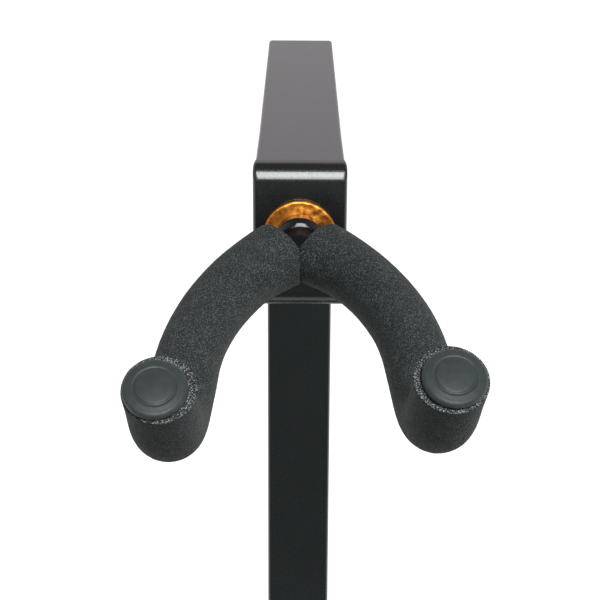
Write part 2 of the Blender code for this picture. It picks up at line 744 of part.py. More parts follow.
def make_upper_mast():
    """Post and arm cut from one tube section and mitred at the top rear corner."""
    length = ARM_TOP_HEIGHT - POST_BOTTOM
    middle = at(0.0, MAST_SETBACK, (ARM_TOP_HEIGHT + POST_BOTTOM) / 2)
    post = add_part("post_tube", upper_tube_mesh("post_tube", length), POWDER_COAT, middle)
    combine(post, mitre_cutter("post_mitre", -1))

    length = POST_BACK - ARM_TUBE_FRONT
    middle = at(0.0, (POST_BACK + ARM_TUBE_FRONT) / 2, STEM_HEIGHT) @ FORWARD
    arm = add_part("arm_tube", upper_tube_mesh("arm_tube", length), POWDER_COAT, middle)
    combine(arm, mitre_cutter("arm_mitre", 1))


def cap_outline(half, proud, nose, rear):
    """Half outline of the cap, rear to nose: distance ahead of its face, and half size."""
    points = [(rear, half), (-CAP_LENGTH, half)]
    for step in range(1, NOSE_STEPS):
        share = step / NOSE_STEPS
        ease = share * share * (3 - 2 * share)
        ahead = -CAP_LENGTH + (CAP_LENGTH - CAP_SHOULDER) * share
        points.append((ahead, half + proud * ease))
    points.append((-CAP_SHOULDER, half + proud))
    points += arc(-nose, half + proud - nose, nose, 90, 0, NOSE_STEPS)
    return points


def make_arm_end_cap():
    """Tray that closes the arm: flush above, flared at the sides, with a lip below the tube."""
    rear = -CAP_LENGTH - CAP_TRIM
    upper = cap_outline(TUBE_DEPTH / 2, 0.0, CAP_NOSE_RADIUS, rear)
    lower = cap_outline(TUBE_DEPTH / 2, CAP_LIP, CAP_NOSE_RADIUS, rear)
    side_view = upper + [(x, -y) for x, y in reversed(lower)]
    side_view = [(y, x) for x, y in side_view]
    plan = cap_outline(TUBE_WIDTH / 2, CAP_PROUD, CAP_PLAN_RADIUS, rear)
    plan = plan + [(x, -y) for x, y in reversed(plan)]
    plan = [(y, x) for x, y in plan]
    nose_width = TUBE_WIDTH + 4 * CAP_PROUD
    nose_height = TUBE_DEPTH + 4 * CAP_LIP
    body = slab_mesh("arm_end_cap", [side_view], nose_width)
    # the side view lies on the vertical plane of the arm, the plan on the level one
    face = at(0.0, CAP_FACE, STEM_HEIGHT)
    upright = Matrix(((0, 0, 1, 0), (0, -1, 0, 0), (1, 0, 0, 0), (0, 0, 0, 1)))
    level = Matrix(((1, 0, 0, 0), (0, -1, 0, 0), (0, 0, -1, 0), (0, 0, 0, 1)))
    body.transform(upright)
    cap = add_part("arm_end_cap", body, POWDER_COAT, face)
    plan_mesh = slab_mesh("cap_plan", [plan], nose_height)
    plan_mesh.transform(level)
    combine(cap, add_cutter("cap_plan", plan_mesh, face), "INTERSECT")
    bevel(cap, CAP_SIDE_RADIUS, 3, CAP_EDGE_ANGLE)
    behind = 2 * CAP_TRIM
    stub = box_mesh("cap_stub", nose_width + OVERCUT, behind, nose_height + OVERCUT)
    middle = CAP_FACE + CAP_LENGTH + behind / 2
    combine(cap, add_cutter("cap_stub", stub, at(0.0, middle, STEM_HEIGHT)))
    cavity_width = TUBE_WIDTH - 2 * CAP_WALL
    cavity_height = TUBE_DEPTH - 2 * CAP_WALL
    cavity_depth = CAP_LENGTH - CAP_WALL
    outline = rounded_rectangle(cavity_width, cavity_height, CAP_CAVITY_RADIUS)
    cavity = slab_mesh("cap_cavity", [outline], cavity_depth + OVERCUT)
    middle = CAP_FACE + CAP_WALL + (cavity_depth + OVERCUT) / 2
    combine(cap, add_cutter("cap_cavity", cavity, at(0.0, middle, STEM_HEIGHT) @ FORWARD))
    bore = rod_mesh("cap_bore", BUSHING_DIAMETER + 2 * GAP, 4 * CAP_WALL, ROUND_SEGMENTS)
    combine(cap, add_cutter("cap_bore", bore, face @ FORWARD))


def make_stem_bearing(axis):
    """Welded boss, nylon bushing and the washers, all on the stem's axis. Heights run forward."""
    bore = BUSHING_DIAMETER + 2 * GAP
    front = -CAP_WALL - GAP
    profile = ring_profile(STEM_BOSS_DIAMETER, bore, front, front - STEM_BOSS_LENGTH)
    turned_part("stem_boss", profile, STEEL, axis, closed=True)

    flange_front = front - STEM_BOSS_LENGTH - GAP
    profile = [
        (BUSHING_BORE / 2, 0.0),
        (BUSHING_DIAMETER / 2, 0.0),
        (BUSHING_DIAMETER / 2, flange_front),
        (BUSHING_FLANGE_DIAMETER / 2, flange_front),
        (BUSHING_FLANGE_DIAMETER / 2, -BUSHING_BACK),
        (BUSHING_BORE / 2, -BUSHING_BACK),
    ]
    turned_part("stem_bushing", profile, NYLON, axis, closed=True)

    front = GAP + THRUST_WASHER_THICKNESS
    profile = ring_profile(
        THRUST_WASHER_DIAMETER, BUSHING_BORE, front, GAP, THRUST_WASHER_CHAMFER
    )
    turned_part("thrust_washer", profile, GOLD_METAL, axis, closed=True, segments=WASHER_SEGMENTS)


def make_stem(pivot):
    """Stem with a round head cut to take the yoke rod. Heights run forward from the cap's face."""
    radius = STEM_DIAMETER / 2
    head = STEM_HEAD_DIAMETER / 2
    nose_centre = YOKE_AHEAD + STEM_HEAD_NOSE - head
    profile = [(0.0, nose_centre + head)]
    profile += arc(0.0, nose_centre, head, 80, 0, 8)
    profile += [
        (head, STEM_HEAD_BACK + STEM_HEAD_EDGE),
        (head - STEM_HEAD_EDGE, STEM_HEAD_BACK),
        (radius, STEM_HEAD_BACK),
        (radius, -STEM_BACK + STEM_CHAMFER),
        (radius - STEM_CHAMFER, -STEM_BACK),
        (0.0, -STEM_BACK),
    ]
    stem = turned_part("swivel_stem", profile, STEEL_BLACK, FORWARD, pivot)
    seat = swept_mesh("rod_seat", yoke_path(True), ROD_DIAMETER + 2 * GAP, ROD_BEVEL_RESOLUTION)
    combine(stem, add_cutter("rod_seat", seat, None, pivot))

    collar_front = COLLAR_BACK + COLLAR_LENGTH
    collar = COLLAR_DIAMETER / 2
    rim = COLLAR_RIM_RADIUS
    profile = [(BUSHING_BORE / 2, collar_front)]
    profile += arc(collar - rim, collar_front - rim, rim, 90, 0, 5)
    profile += [
        (collar, COLLAR_BACK + COLLAR_BACK_CHAMFER),
        (collar - COLLAR_BACK_CHAMFER, COLLAR_BACK),
        (BUSHING_BORE / 2, COLLAR_BACK),
    ]
    turned_part("stem_collar", profile, STEEL_BLACK, FORWARD, pivot, closed=True)


def make_stem_fasteners(pivot):
    """Washers and lock nut on the stem's tail, inside the arm."""
    back = -BACK_WASHER_FRONT - BACK_WASHER_THICKNESS
    profile = ring_profile(BACK_WASHER_DIAMETER, BUSHING_BORE, -BACK_WASHER_FRONT, back)
    turned_part("back_washer", profile, ZINC, FORWARD, pivot, True, SMALL_SEGMENTS)

    back = -SPRING_WASHER_FRONT - SPRING_WASHER_THICKNESS
    profile = ring_profile(SPRING_WASHER_DIAMETER, BUSHING_BORE, -SPRING_WASHER_FRONT, back)
    washer = turned_part("spring_washer", profile, ZINC, FORWARD, pivot, True, SMALL_SEGMENTS)
    depth = 3 * SPRING_WASHER_THICKNESS
    slot = box_mesh("washer_slot", SPRING_WASHER_SLOT, SPRING_WASHER_DIAMETER, depth)
    middle = FORWARD @ at(0.0, SPRING_WASHER_DIAMETER / 2, -SPRING_WASHER_FRONT)
    combine(washer, add_cutter("washer_slot", slot, middle, pivot))

    corner = NUT_ACROSS_FLATS / math.cos(math.pi / 6)
    middle = FORWARD @ at(0.0, 0.0, -NUT_FRONT - NUT_HEIGHT / 2)
    hexagon = rod_mesh("lock_nut", corner, NUT_HEIGHT, 6)
    nut = add_part("lock_nut", hexagon, ZINC, middle, pivot)
    bevel(nut, NUT_CHAMFER, 2)
    bore = rod_mesh("nut_bore", BUSHING_BORE, 2 * NUT_HEIGHT)
    combine(nut, add_cutter("nut_bore", bore, middle, pivot))


def yoke_stations(side):
    """Points of one half of the rod's centre line before the droop, from the middle to the tip.

    Each is x outwards, y ahead and z up, with a flag that says whether the foam covers it.
    Both tips lean towards +X, so outwards on one side and inwards on the other.
    """
    stations = []
    for step in range(ROOT_STEPS + 1):
        heading = math.pi / 2 + (YOKE_SPREAD - math.pi / 2) * step / ROOT_STEPS
        across = ROOT_BEND_RADIUS * math.cos(heading)
        ahead = ROOT_BEND_RADIUS * (1 - math.sin(heading))
        stations.append((Vector((across, ahead, 0.0)), step == ROOT_STEPS))
    start = stations[-1][0]
    for step in range(1, SWEEP_STEPS + 1):
        heading = YOKE_SPREAD + (YOKE_TOE - YOKE_SPREAD) * step / SWEEP_STEPS
        across = YOKE_SWEEP_RADIUS * (math.cos(heading) - math.cos(YOKE_SPREAD))
        ahead = YOKE_SWEEP_RADIUS * (math.sin(YOKE_SPREAD) - math.sin(heading))
        stations.append((start + Vector((across, ahead, 0.0)), True))
    level = Vector((math.sin(YOKE_TOE), math.cos(YOKE_TOE), 0.0))
    outward = Vector((math.cos(YOKE_TOE), -math.sin(YOKE_TOE), 0.0))
    up = Vector((0.0, 0.0, math.cos(YOKE_LEAN))) + outward * side * math.sin(YOKE_LEAN)
    start = stations[-1][0] + level * YOKE_STRAIGHT
    stations.append((start - level * YOKE_STRAIGHT / 2, True))
    stations.append((start, True))
    for step in range(1, UPTURN_STEPS + 1):
        rise = YOKE_UPTURN * step / UPTURN_STEPS
        offset = level * math.sin(rise) + up * (1 - math.cos(rise))
        stations.append((start + offset * YOKE_UPTURN_RADIUS, True))
    end = level * math.cos(YOKE_UPTURN) + up * math.sin(YOKE_UPTURN)
    stations.append((stations[-1][0] + end * YOKE_TIP_STRAIGHT, True))
    return stations


def drooped(point, side):
    """Place of a station under the pivot, with the droop."""
    ahead = point.y * math.cos(YOKE_DROOP) + point.z * math.sin(YOKE_DROOP)
    height = point.z * math.cos(YOKE_DROOP) - point.y * math.sin(YOKE_DROOP)
    return Vector((side * point.x, -(YOKE_AHEAD + ahead), height))


def yoke_path(root_only=False):
    """Whole centre line from the left tip to the right one, or only the part near the stem."""
    last = ROOT_STEPS + 5 if root_only else None
    right = [drooped(point, 1) for point, _ in yoke_stations(1)[:last]]
    left = [drooped(point, -1) for point, _ in yoke_stations(-1)[1:last]]
    return left[::-1] + right


def foam_path(side):
    return [drooped(point, side) for point, covered in yoke_stations(side) if covered]


def extended(points, extra):
    """Row of points with both ends carried on straight."""
    first = points[0] + (points[0] - points[1]).normalized() * extra
    last = points[-1] + (points[-1] - points[-2]).normalized() * extra
    return [first] + points[1:-1] + [last]


def make_yoke(pivot):
    rod_points = yoke_path()
    tip = TIP_CAP_SOCKET - GAP
    rod_points = extended(rod_points, GAP + tip)
    rod = swept_mesh("yoke_rod", rod_points, ROD_DIAMETER, ROD_BEVEL_RESOLUTION)
    add_part("yoke_rod", rod, STEEL_BLACK, None, pivot)
    for side, word in ((-1, "left"), (1, "right")):
        path = foam_path(side)
        mesh = swept_mesh(f"{word}_foam_sleeve", path, FOAM_DIAMETER, FOAM_BEVEL_RESOLUTION)
        foam = add_part(f"{word}_foam_sleeve", mesh, FOAM, None, pivot)
        name = f"{word}_foam_bore"
        bore_path = extended(path, 2 * OVERCUT)
        bore = swept_mesh(name, bore_path, ROD_DIAMETER + 2 * GAP, ROD_BEVEL_RESOLUTION)
        combine(foam, add_cutter(name, bore, None, pivot))
        direction = (path[-1] - path[-2]).normalized()
        make_tip_cap(f"{word}_tip_cap", path[-1], direction, pivot)


def make_tip_cap(name, place, direction, pivot):
    """Domed rubber cap seated on the foam's cut end, with a blind socket for the rod."""
    radius = TIP_CAP_DIAMETER / 2
    edge = TIP_CAP_EDGE_RADIUS
    bottom = GAP
    shoulder = bottom + TIP_CAP_EDGE
    ring = TIP_CAP_RING_DIAMETER / 2
    groove = TIP_CAP_RING_WIDTH

    def crown(distance):
        return shoulder + TIP_CAP_DOME * (1 - (distance / radius) ** 2)

    socket = ROD_DIAMETER / 2 + GAP
    profile = [(distance, crown(distance)) for distance in (0.0, ring / 2, ring - groove)]
    profile += [
        (ring - groove / 2, crown(ring) - TIP_CAP_RING_DEPTH),
        (ring, crown(ring)),
        (radius - edge, crown(radius - edge)),
        (radius - edge / 4, shoulder - edge / 2),
        (radius, shoulder - edge),
        (radius, bottom + edge),
        (radius - edge, bottom),
        (socket, bottom),
        (socket, bottom + TIP_CAP_SOCKET),
        (0.0, bottom + TIP_CAP_SOCKET),
    ]
    turn = Vector((0.0, 0.0, 1.0)).rotation_difference(direction).to_matrix().to_4x4()
    turned_part(name, profile, RUBBER, Matrix.Translation(place) @ turn, pivot)


clear_scene()
PARTS = new_collection("hanging_guitar_stand")
CUTTERS = new_collection("cutters")
POWDER_COAT = new_material("black_powder_coat", (0.022, 0.022, 0.022), 0.42, 0.0)
STEEL_BLACK = new_material("black_oxide_steel", (0.012, 0.012, 0.013), 0.25, 0.6)
STEEL = new_material("bare_steel", (0.45, 0.45, 0.45), 0.35, 1.0)
ZINC = new_material("zinc_plated_steel", (0.60, 0.61, 0.62), 0.30, 1.0)
GOLD_METAL = new_material("gold_washer", (0.85, 0.42, 0.07), 0.22, 1.0)
PLASTIC = new_material("black_nylon", (0.020, 0.020, 0.021), 0.50, 0.0)
NYLON = new_material("natural_nylon", (0.62, 0.60, 0.54), 0.45, 0.0)
RUBBER = new_material("black_rubber", (0.030, 0.036, 0.036), 0.60, 0.0)
FOAM = new_material("charcoal_foam", (0.028, 0.030, 0.033), 0.95, 0.0)

make_base()
make_feet()
make_lower_mast()
make_mast_bush()
make_clamp()
make_lower_glide()
make_upper_mast()
make_arm_end_cap()

stem_axis = at(0.0, CAP_FACE, STEM_HEIGHT)
make_stem_bearing(stem_axis @ FORWARD)
yoke_pivot = bpy.data.objects.new("yoke_pivot", None)
PARTS.objects.link(yoke_pivot)
yoke_pivot.matrix_world = stem_axis @ Matrix.Rotation(YOKE_SET_ANGLE, 4, "Y")
make_stem(yoke_pivot)
make_stem_fasteners(yoke_pivot)
make_yoke(yoke_pivot)
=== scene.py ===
"""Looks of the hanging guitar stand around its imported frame.

Metres, +Z up. The arm and the yoke reach forward, towards -Y, and the mast stands behind.
"""

import json
import math

import bmesh
import bpy
from mathutils import Matrix, Vector, noise

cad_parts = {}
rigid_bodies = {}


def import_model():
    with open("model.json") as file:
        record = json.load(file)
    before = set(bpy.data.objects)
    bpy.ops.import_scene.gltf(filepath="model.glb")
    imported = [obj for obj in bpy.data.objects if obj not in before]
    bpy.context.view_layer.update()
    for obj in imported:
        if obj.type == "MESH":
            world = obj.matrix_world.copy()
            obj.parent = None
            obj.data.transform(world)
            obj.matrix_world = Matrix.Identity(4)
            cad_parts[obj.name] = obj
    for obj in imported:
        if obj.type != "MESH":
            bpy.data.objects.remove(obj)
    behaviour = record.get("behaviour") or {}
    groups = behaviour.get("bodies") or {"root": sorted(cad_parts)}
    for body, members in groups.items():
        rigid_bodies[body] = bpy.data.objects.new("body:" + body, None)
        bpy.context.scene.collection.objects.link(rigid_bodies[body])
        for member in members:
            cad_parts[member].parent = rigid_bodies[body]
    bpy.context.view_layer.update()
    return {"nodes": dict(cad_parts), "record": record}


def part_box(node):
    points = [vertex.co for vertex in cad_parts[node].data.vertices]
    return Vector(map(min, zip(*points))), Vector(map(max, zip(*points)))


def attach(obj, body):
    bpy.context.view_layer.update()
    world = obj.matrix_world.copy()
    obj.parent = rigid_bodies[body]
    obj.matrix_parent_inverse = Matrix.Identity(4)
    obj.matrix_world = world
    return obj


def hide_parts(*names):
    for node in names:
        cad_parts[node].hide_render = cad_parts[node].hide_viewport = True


for item in list(bpy.data.objects):
    bpy.data.objects.remove(item, do_unlink=True)

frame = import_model()

# Clearance between the solids of the frame
GAP = 0.0003

# Camera, fitted to the photograph's edges
CAMERA_PLACE = Vector((-0.0002, -0.5761, 1.2421))
CAMERA_LENS = 93.44
CAMERA_PITCH = math.radians(19.541)
CAMERA_YAW = math.radians(0.044)
CAMERA_ROLL = math.radians(0.296)

# Arm and post: one box tube, mitred, with a pressed cap
TUBE_WIDTH = 0.030
TUBE_DEPTH = 0.050
TUBE_WALL = 0.0015
TUBE_CORNER = 0.0014
TUBE_INNER_CORNER = 0.0005
CAP_PROUD = 0.00100
CAP_LIP = 0.0015
CAP_LENGTH = 0.0125
CAP_WALL = 0.0025
CAP_FLARE_FULL = 0.002
CAP_FACE_INSET = 0.0006
CAP_BORE_EDGE = 0.0003
SWELL = 0.0002
SWELL_LENGTH = 0.050
CAP_NOSE_RADIUS = 0.006
CAP_EDGE_RADIUS = 0.0013
CAP_BORE_RADIUS = 0.0064
MITRE_RADIUS = 0.0009
ARM_RINGS = (0.060, 0.120)
POST_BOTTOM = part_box("post_tube")[0].z
POST_MIDDLE = (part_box("post_tube")[0].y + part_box("post_tube")[1].y) / 2
ARM_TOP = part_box("arm_tube")[1].z
ARM_MIDDLE = ARM_TOP - TUBE_DEPTH / 2
CAP_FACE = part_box("arm_end_cap")[0].y

# Yoke: the same bends as the frame's rod
ROD_DIAMETER = 0.008
FOAM_DIAMETER = 0.020
YOKE_AHEAD = 0.015
YOKE_SPREAD = math.radians(44.5)
YOKE_SWEEP_RADIUS = 0.0965
YOKE_TOE = math.radians(5.0)
YOKE_STRAIGHT = 0.017
YOKE_UPTURN_RADIUS = 0.0265
YOKE_UPTURN = math.radians(68.0)
YOKE_TIP_STRAIGHT = 0.0145
YOKE_LEAN = math.radians(3.0)
YOKE_DROOP = math.radians(16.1)
YOKE_SET_ANGLE = math.radians(-2.3)
ROOT_BEND_RADIUS = FOAM_DIAMETER / 2 + GAP / (2 * math.cos(YOKE_SPREAD))
SWEEP_LENGTH = YOKE_SWEEP_RADIUS * (YOKE_SPREAD - YOKE_TOE)
UPTURN_LENGTH = YOKE_UPTURN_RADIUS * YOKE_UPTURN
FOAM_LENGTH = SWEEP_LENGTH + YOKE_STRAIGHT + UPTURN_LENGTH + YOKE_TIP_STRAIGHT

# Foam: its form and its surface
FOAM_EDGE_RADIUS = 0.00025
FOAM_BORE_RADIUS = ROD_DIAMETER / 2 + GAP
FOAM_PRESS = 0.0022
FOAM_PRESS_LENGTH = 0.010
FOAM_BULGE = {-1: 0.0012, 1: 0.0007}
FOAM_BULGE_LENGTH = {-1: 0.034, 1: 0.020}
FOAM_BULGE_EVEN = 0.6
FOAM_BULGE_ABOVE = 0.4
FOAM_FLARE = 0.0003
FOAM_FLARE_LENGTH = 0.006
FOAM_HALF_GAP = GAP / 60
FOAM_CELL_RELIEF = 0.00006
FOAM_CELL_SCALE = 900.0
FOAM_WAVE_RELIEF = 0.00012
FOAM_WAVE_SCALE = 70.0
FOAM_SEED = Vector((3.7, 1.9, 0.4))

# Tip caps
TIP_CAP_RADIUS = 0.00885
TIP_CAP_SIDE = 0.0018
TIP_CAP_DOME = 0.0015
TIP_CAP_ROUND = 0.0015
TIP_CAP_LOWER_EDGE = 0.0004
TIP_CAP_SOCKET_DEPTH = 0.0016
TIP_CAP_SOCKET_RADIUS = FOAM_BORE_RADIUS + 0.0015
TIP_CAP_RING_RADIUS = 0.0056
TIP_CAP_RING_WIDTH = 0.0007
TIP_CAP_RING_DEPTH = 0.00035
# Each cap sits a little off the foam's middle, outwards and ahead
TIP_CAP_OUT = {-1: 0.0009, 1: 0.0006}
TIP_CAP_AHEAD = {-1: 0.0007, 1: 0.0004}

# Stem, collar and washer, along the swivel's axis from the cap's face
STEM_RADIUS = 0.004
STEM_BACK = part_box("swivel_stem")[1].y
STEM_HEAD_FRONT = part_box("swivel_stem")[0].y
COLLAR_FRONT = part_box("stem_collar")[0].y
COLLAR_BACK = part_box("stem_collar")[1].y
STEM_HEAD_RADIUS = 0.00575
STEM_HEAD_CHAMFER = 0.0003
STEM_END_CHAMFER = 0.001
COLLAR_RADIUS = 0.0084
COLLAR_RIM = 0.003
COLLAR_CHAMFER = 0.0003
WASHER_RADIUS = 0.0126
WASHER_RIM = 0.0006
WASHER_BORE_RADIUS = 0.0043
# Radius and depth across the washer's dished face
WASHER_DISH = (
    (WASHER_BORE_RADIUS, 0.0001), (0.0070, 0.00022), (0.0086, 0.00025), (0.0104, 0.00020),
    (0.0114, 0.00008),
)
WASHER_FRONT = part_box("thrust_washer")[0].y
WASHER_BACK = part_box("thrust_washer")[1].y

# Base, lower tube and feet
PLATE_CORNER = 0.045
PLATE_EDGE = 0.0012
SCREW_SHANK_RADIUS = 0.004
SCREW_HEAD_TOP = 0.0006
SCREW_CONE_TOP = 0.0041
CUT_PAST = 0.001
LOWER_TUBE_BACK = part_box("lower_mast_tube")[1].y
LOWER_TUBE_WIDTH = 0.040
LOWER_TUBE_DEPTH = 0.060
LOWER_TUBE_CORNER = 0.003
LOWER_TUBE_WALL = 0.002
LOWER_TUBE_EDGE = 0.0004
FOOT_RADIUS = 0.015
FOOT_TAPER = 0.002
FOOT_EDGE = 0.0012
FOOT_CHAMFER = 0.0004
FOOT_RECESS_RADIUS = 0.00575
FOOT_RECESS_DEPTH = 0.004
FOOT_BORE_RADIUS = 0.0028

# Clamp, along its axis from the lower tube's rear face
CLAMP_RADIUS = 0.004
CLAMP_HOLE_RADIUS = 0.0045
CLAMP_HOLE_LENGTH = 0.012
THREAD_PITCH = 0.00125
THREAD_DEPTH = 0.0007
THREAD_FLANK = 1.3
THREAD_CREST = 0.15
THREAD_INTO_KNOB = 0.002
THREAD_RUN_OUT = 0.0004
THREAD_TIP_TAPER = 0.0008
THREAD_TIP_LENGTH = 0.001
KNOB_RADIUS = 0.023
KNOB_LOBES = 5
KNOB_LOBE_DEPTH = 0.0035
KNOB_EDGE = 0.003
KNOB_BORE_RADIUS = 0.0043
KNOB_BORE_DEPTH = 0.0143
KNOB_HUB_RADIUS = 0.0105
KNOB_HUB_LENGTH = 0.009
KNOB_HUB_EDGE = 0.0012
KNOB_FILLET_START = 0.0004
KNOB_FILLET_END = 0.0014
KNOB_DISH_RADIUS = 0.011
KNOB_DISH_DEPTH = 0.0015
KNOB_SMALL_EDGE = 0.0003
KNOB_AXIS_HOLE = 0.0001
WELD_RADIUS = 0.0016
WELD_TOE = 0.15
WELD_HOLLOW = 0.25
WELD_RIPPLE = 0.07
WELD_RIPPLES = 30
WELD_UNEVEN = 0.05
WELD_SINK = 0.0002
WELD_LIFT = 0.0001

# Values between which nearly all of a noise lies
NOISE_LOW = 0.3
NOISE_HIGH = 0.7

# Floor and room: glow and sheen by distance, and the room's brightness by direction
FLOOR_REACH = 15.0
FLOOR_FRONT = -0.7
FLOOR_GLOW_NEAR = 0.66
FLOOR_GLOW_FAR = 1.02
FLOOR_GLOW_RANGE = (0.9, 1.9)
FLOOR_SHEEN = 0.55
FLOOR_SIDES = 0.8
FLOOR_SIDES_RANGE = (0.6, 1.8)
ROOM_FRONT = 0.17
ROOM_BEHIND = 0.62
ROOM_LIFT = 2.1
ROOM_LEFT = 0.55
ROOM_RIGHT = 0.40
ROOM_PLAIN = 0.27
ROOM_LIMIT = 10.0
ROOM_BEHIND_RANGE = (0.44, 0.62)
ROOM_LIFT_RANGE = (0.40, 0.72)
ROOM_SIDE_RANGE = (0.30, 0.85)

# Lights: place from the middle of the arm's end, width and height, and power
SOFT_BOX_ELEVATION = math.radians(29.6)
SOFT_BOX_AHEAD = Vector((0.06, -math.cos(SOFT_BOX_ELEVATION), math.sin(SOFT_BOX_ELEVATION)))
SOFT_BOX_PLACE = SOFT_BOX_AHEAD * 2.2
SOFT_BOX_SIZE = (0.95, 1.60)
SOFT_BOX_POWER = 53.6
FADE_PLACE = Vector((0.13, -2.19, 0.255))
FADE_SIZE = (0.95, 0.23)
FADE_POWER = 3.2
KEY_PLACE = Vector((0.75, -1.38, 1.42))
KEY_SIZE = (0.9, 0.9)
KEY_POWER = 57.0
KEY_COLOUR = (0.94, 1.0, 1.0)

# Mesh density
CORNER_STEPS = 8
NOSE_STEPS = 16
EDGE_STEPS = 5
SWELL_STEPS = 12
ROUND_SEGMENTS = 96
FOAM_RING = 96
FOAM_STEP = 0.0006
MERGE_DISTANCE = 0.000002
SLIVER_LENGTH = 0.000001


# Materials

def set_inputs(node, values):
    for name, value in values.items():
        node.inputs[name].default_value = value


def material_base(name, colour, roughness, metallic=0.0):
    material = bpy.data.materials.new(name)
    material.use_nodes = True
    shader = material.node_tree.nodes["Principled BSDF"]
    base = {"Base Color": (*colour, 1.0), "Roughness": roughness, "Metallic": metallic}
    set_inputs(shader, base)
    return material, shader


def noise_node(material, scale, detail, stretch=(1.0, 1.0, 1.0), rough=0.5):
    """Noise of a given scale, in features per metre, over the object's own coordinates."""
    tree = material.node_tree
    spot = tree.nodes.new("ShaderNodeTexCoord")
    mapping = tree.nodes.new("ShaderNodeMapping")
    set_inputs(mapping, {"Scale": stretch})
    texture = tree.nodes.new("ShaderNodeTexNoise")
    set_inputs(texture, {"Scale": scale, "Detail": detail, "Roughness": rough})
    tree.links.new(spot.outputs["Object"], mapping.inputs["Vector"])
    tree.links.new(mapping.outputs["Vector"], texture.inputs["Vector"])
    return texture.outputs["Fac"]


def dots_node(material, scale, wide, narrow):
    """Dots of uneven brightness, one in each cell, over the object's own coordinates."""
    tree = material.node_tree
    spot = tree.nodes.new("ShaderNodeTexCoord")
    cells = tree.nodes.new("ShaderNodeTexVoronoi")
    set_inputs(cells, {"Scale": scale})
    tree.links.new(spot.outputs["Object"], cells.inputs["Vector"])
    chance = tree.nodes.new("ShaderNodeSeparateXYZ")
    tree.links.new(cells.outputs["Color"], chance.inputs["Vector"])
    round_dot = range_node(material, cells.outputs["Distance"], wide, narrow)
    bright = range_node(material, chance.outputs["X"], 0.0, 1.0, 0.1, 1.0)
    return maths_node(material, round_dot, bright, "MULTIPLY")


def ramp_node(material, value, stops):
    """Colours over a value, as (position, colour) stops."""
    tree = material.node_tree
    ramp = tree.nodes.new("ShaderNodeValToRGB")
    elements = ramp.color_ramp.elements
    while len(elements) < len(stops):
        elements.new(0.5)
    for element, (position, colour) in zip(elements, stops):
        element.position = position
        element.color = (*colour, 1.0)
    tree.links.new(value, ramp.inputs["Fac"])
    return ramp.outputs["Color"]


def range_node(material, value, low, high, start=0.0, end=1.0):
    """Value mapped from low..high to start..end."""
    tree = material.node_tree
    mapped = tree.nodes.new("ShaderNodeMapRange")
    set_inputs(mapped, {"From Min": low, "From Max": high, "To Min": start, "To Max": end})
    tree.links.new(value, mapped.inputs["Value"])
    return mapped.outputs["Result"]


def maths_node(material, first, second, operation="ADD"):
    """Sum of two values, or what another operation makes of them."""
    tree = material.node_tree
    maths = tree.nodes.new("ShaderNodeMath")
    maths.operation = operation
    for socket, value in zip(maths.inputs, (first, second)):
        if isinstance(value, float):
            socket.default_value = value
        else:
            tree.links.new(value, socket)
    return maths.outputs["Value"]


def bump_node(material, shader, height, distance, strength):
    """Bump by a height, in units of a distance in metres."""
    tree = material.node_tree
    bump = tree.nodes.new("ShaderNodeBump")
    set_inputs(bump, {"Distance": distance, "Strength": strength})
    tree.links.new(height, bump.inputs["Height"])
    tree.links.new(bump.outputs["Normal"], shader.inputs["Normal"])


def link(material, value, socket):
    material.node_tree.links.new(value, socket)


def cloudy_colour(material, shader, scale, detail, dull, bright):
    """Base colour that drifts between two tones over a noise."""
    cloud = noise_node(material, scale, detail)
    tone = ramp_node(material, cloud, [(NOISE_LOW, dull), (NOISE_HIGH, bright)])
    link(material, tone, shader.inputs["Base Color"])


def uneven_gloss(material, shader, value, smooth, rough):
    """Roughness that runs between two limits over a noise."""
    spread = range_node(material, value, NOISE_LOW, NOISE_HIGH, smooth, rough)
    link(material, spread, shader.inputs["Roughness"])


def powder_coat_material():
    """Satin black powder coat: fine grain on a slow orange-peel wave."""
    material, shader = material_base("powder_coat_look", (0.005, 0.0057, 0.0055), 0.24)
    set_inputs(shader, {"IOR": 1.75})
    grain = noise_node(material, 2600.0, 3.0)
    peel = noise_node(material, 420.0, 2.0)
    dull = (0.0036, 0.0042, 0.0041)
    bright = (0.0052, 0.0059, 0.0058)
    cloudy_colour(material, shader, 45.0, 2.0, dull, bright)
    uneven_gloss(material, shader, grain, 0.20, 0.30)
    height = maths_node(material, grain, maths_node(material, peel, 1.6, "MULTIPLY"))
    bump_node(material, shader, height, 0.000012, 0.45)
    return material


def black_steel_material(name, low, high, level):
    """Black plated steel, its gloss smeared between two roughnesses."""
    material, shader = material_base(name, (0.007, 0.007, 0.008), low)
    set_inputs(shader, {"Specular IOR Level": level})
    smear = noise_node(material, 380.0, 3.0)
    link(material, range_node(material, smear, 0.35, 0.7, low, high), shader.inputs["Roughness"])
    bump_node(material, shader, noise_node(material, 900.0, 2.0), 0.00001, 0.5)
    return material


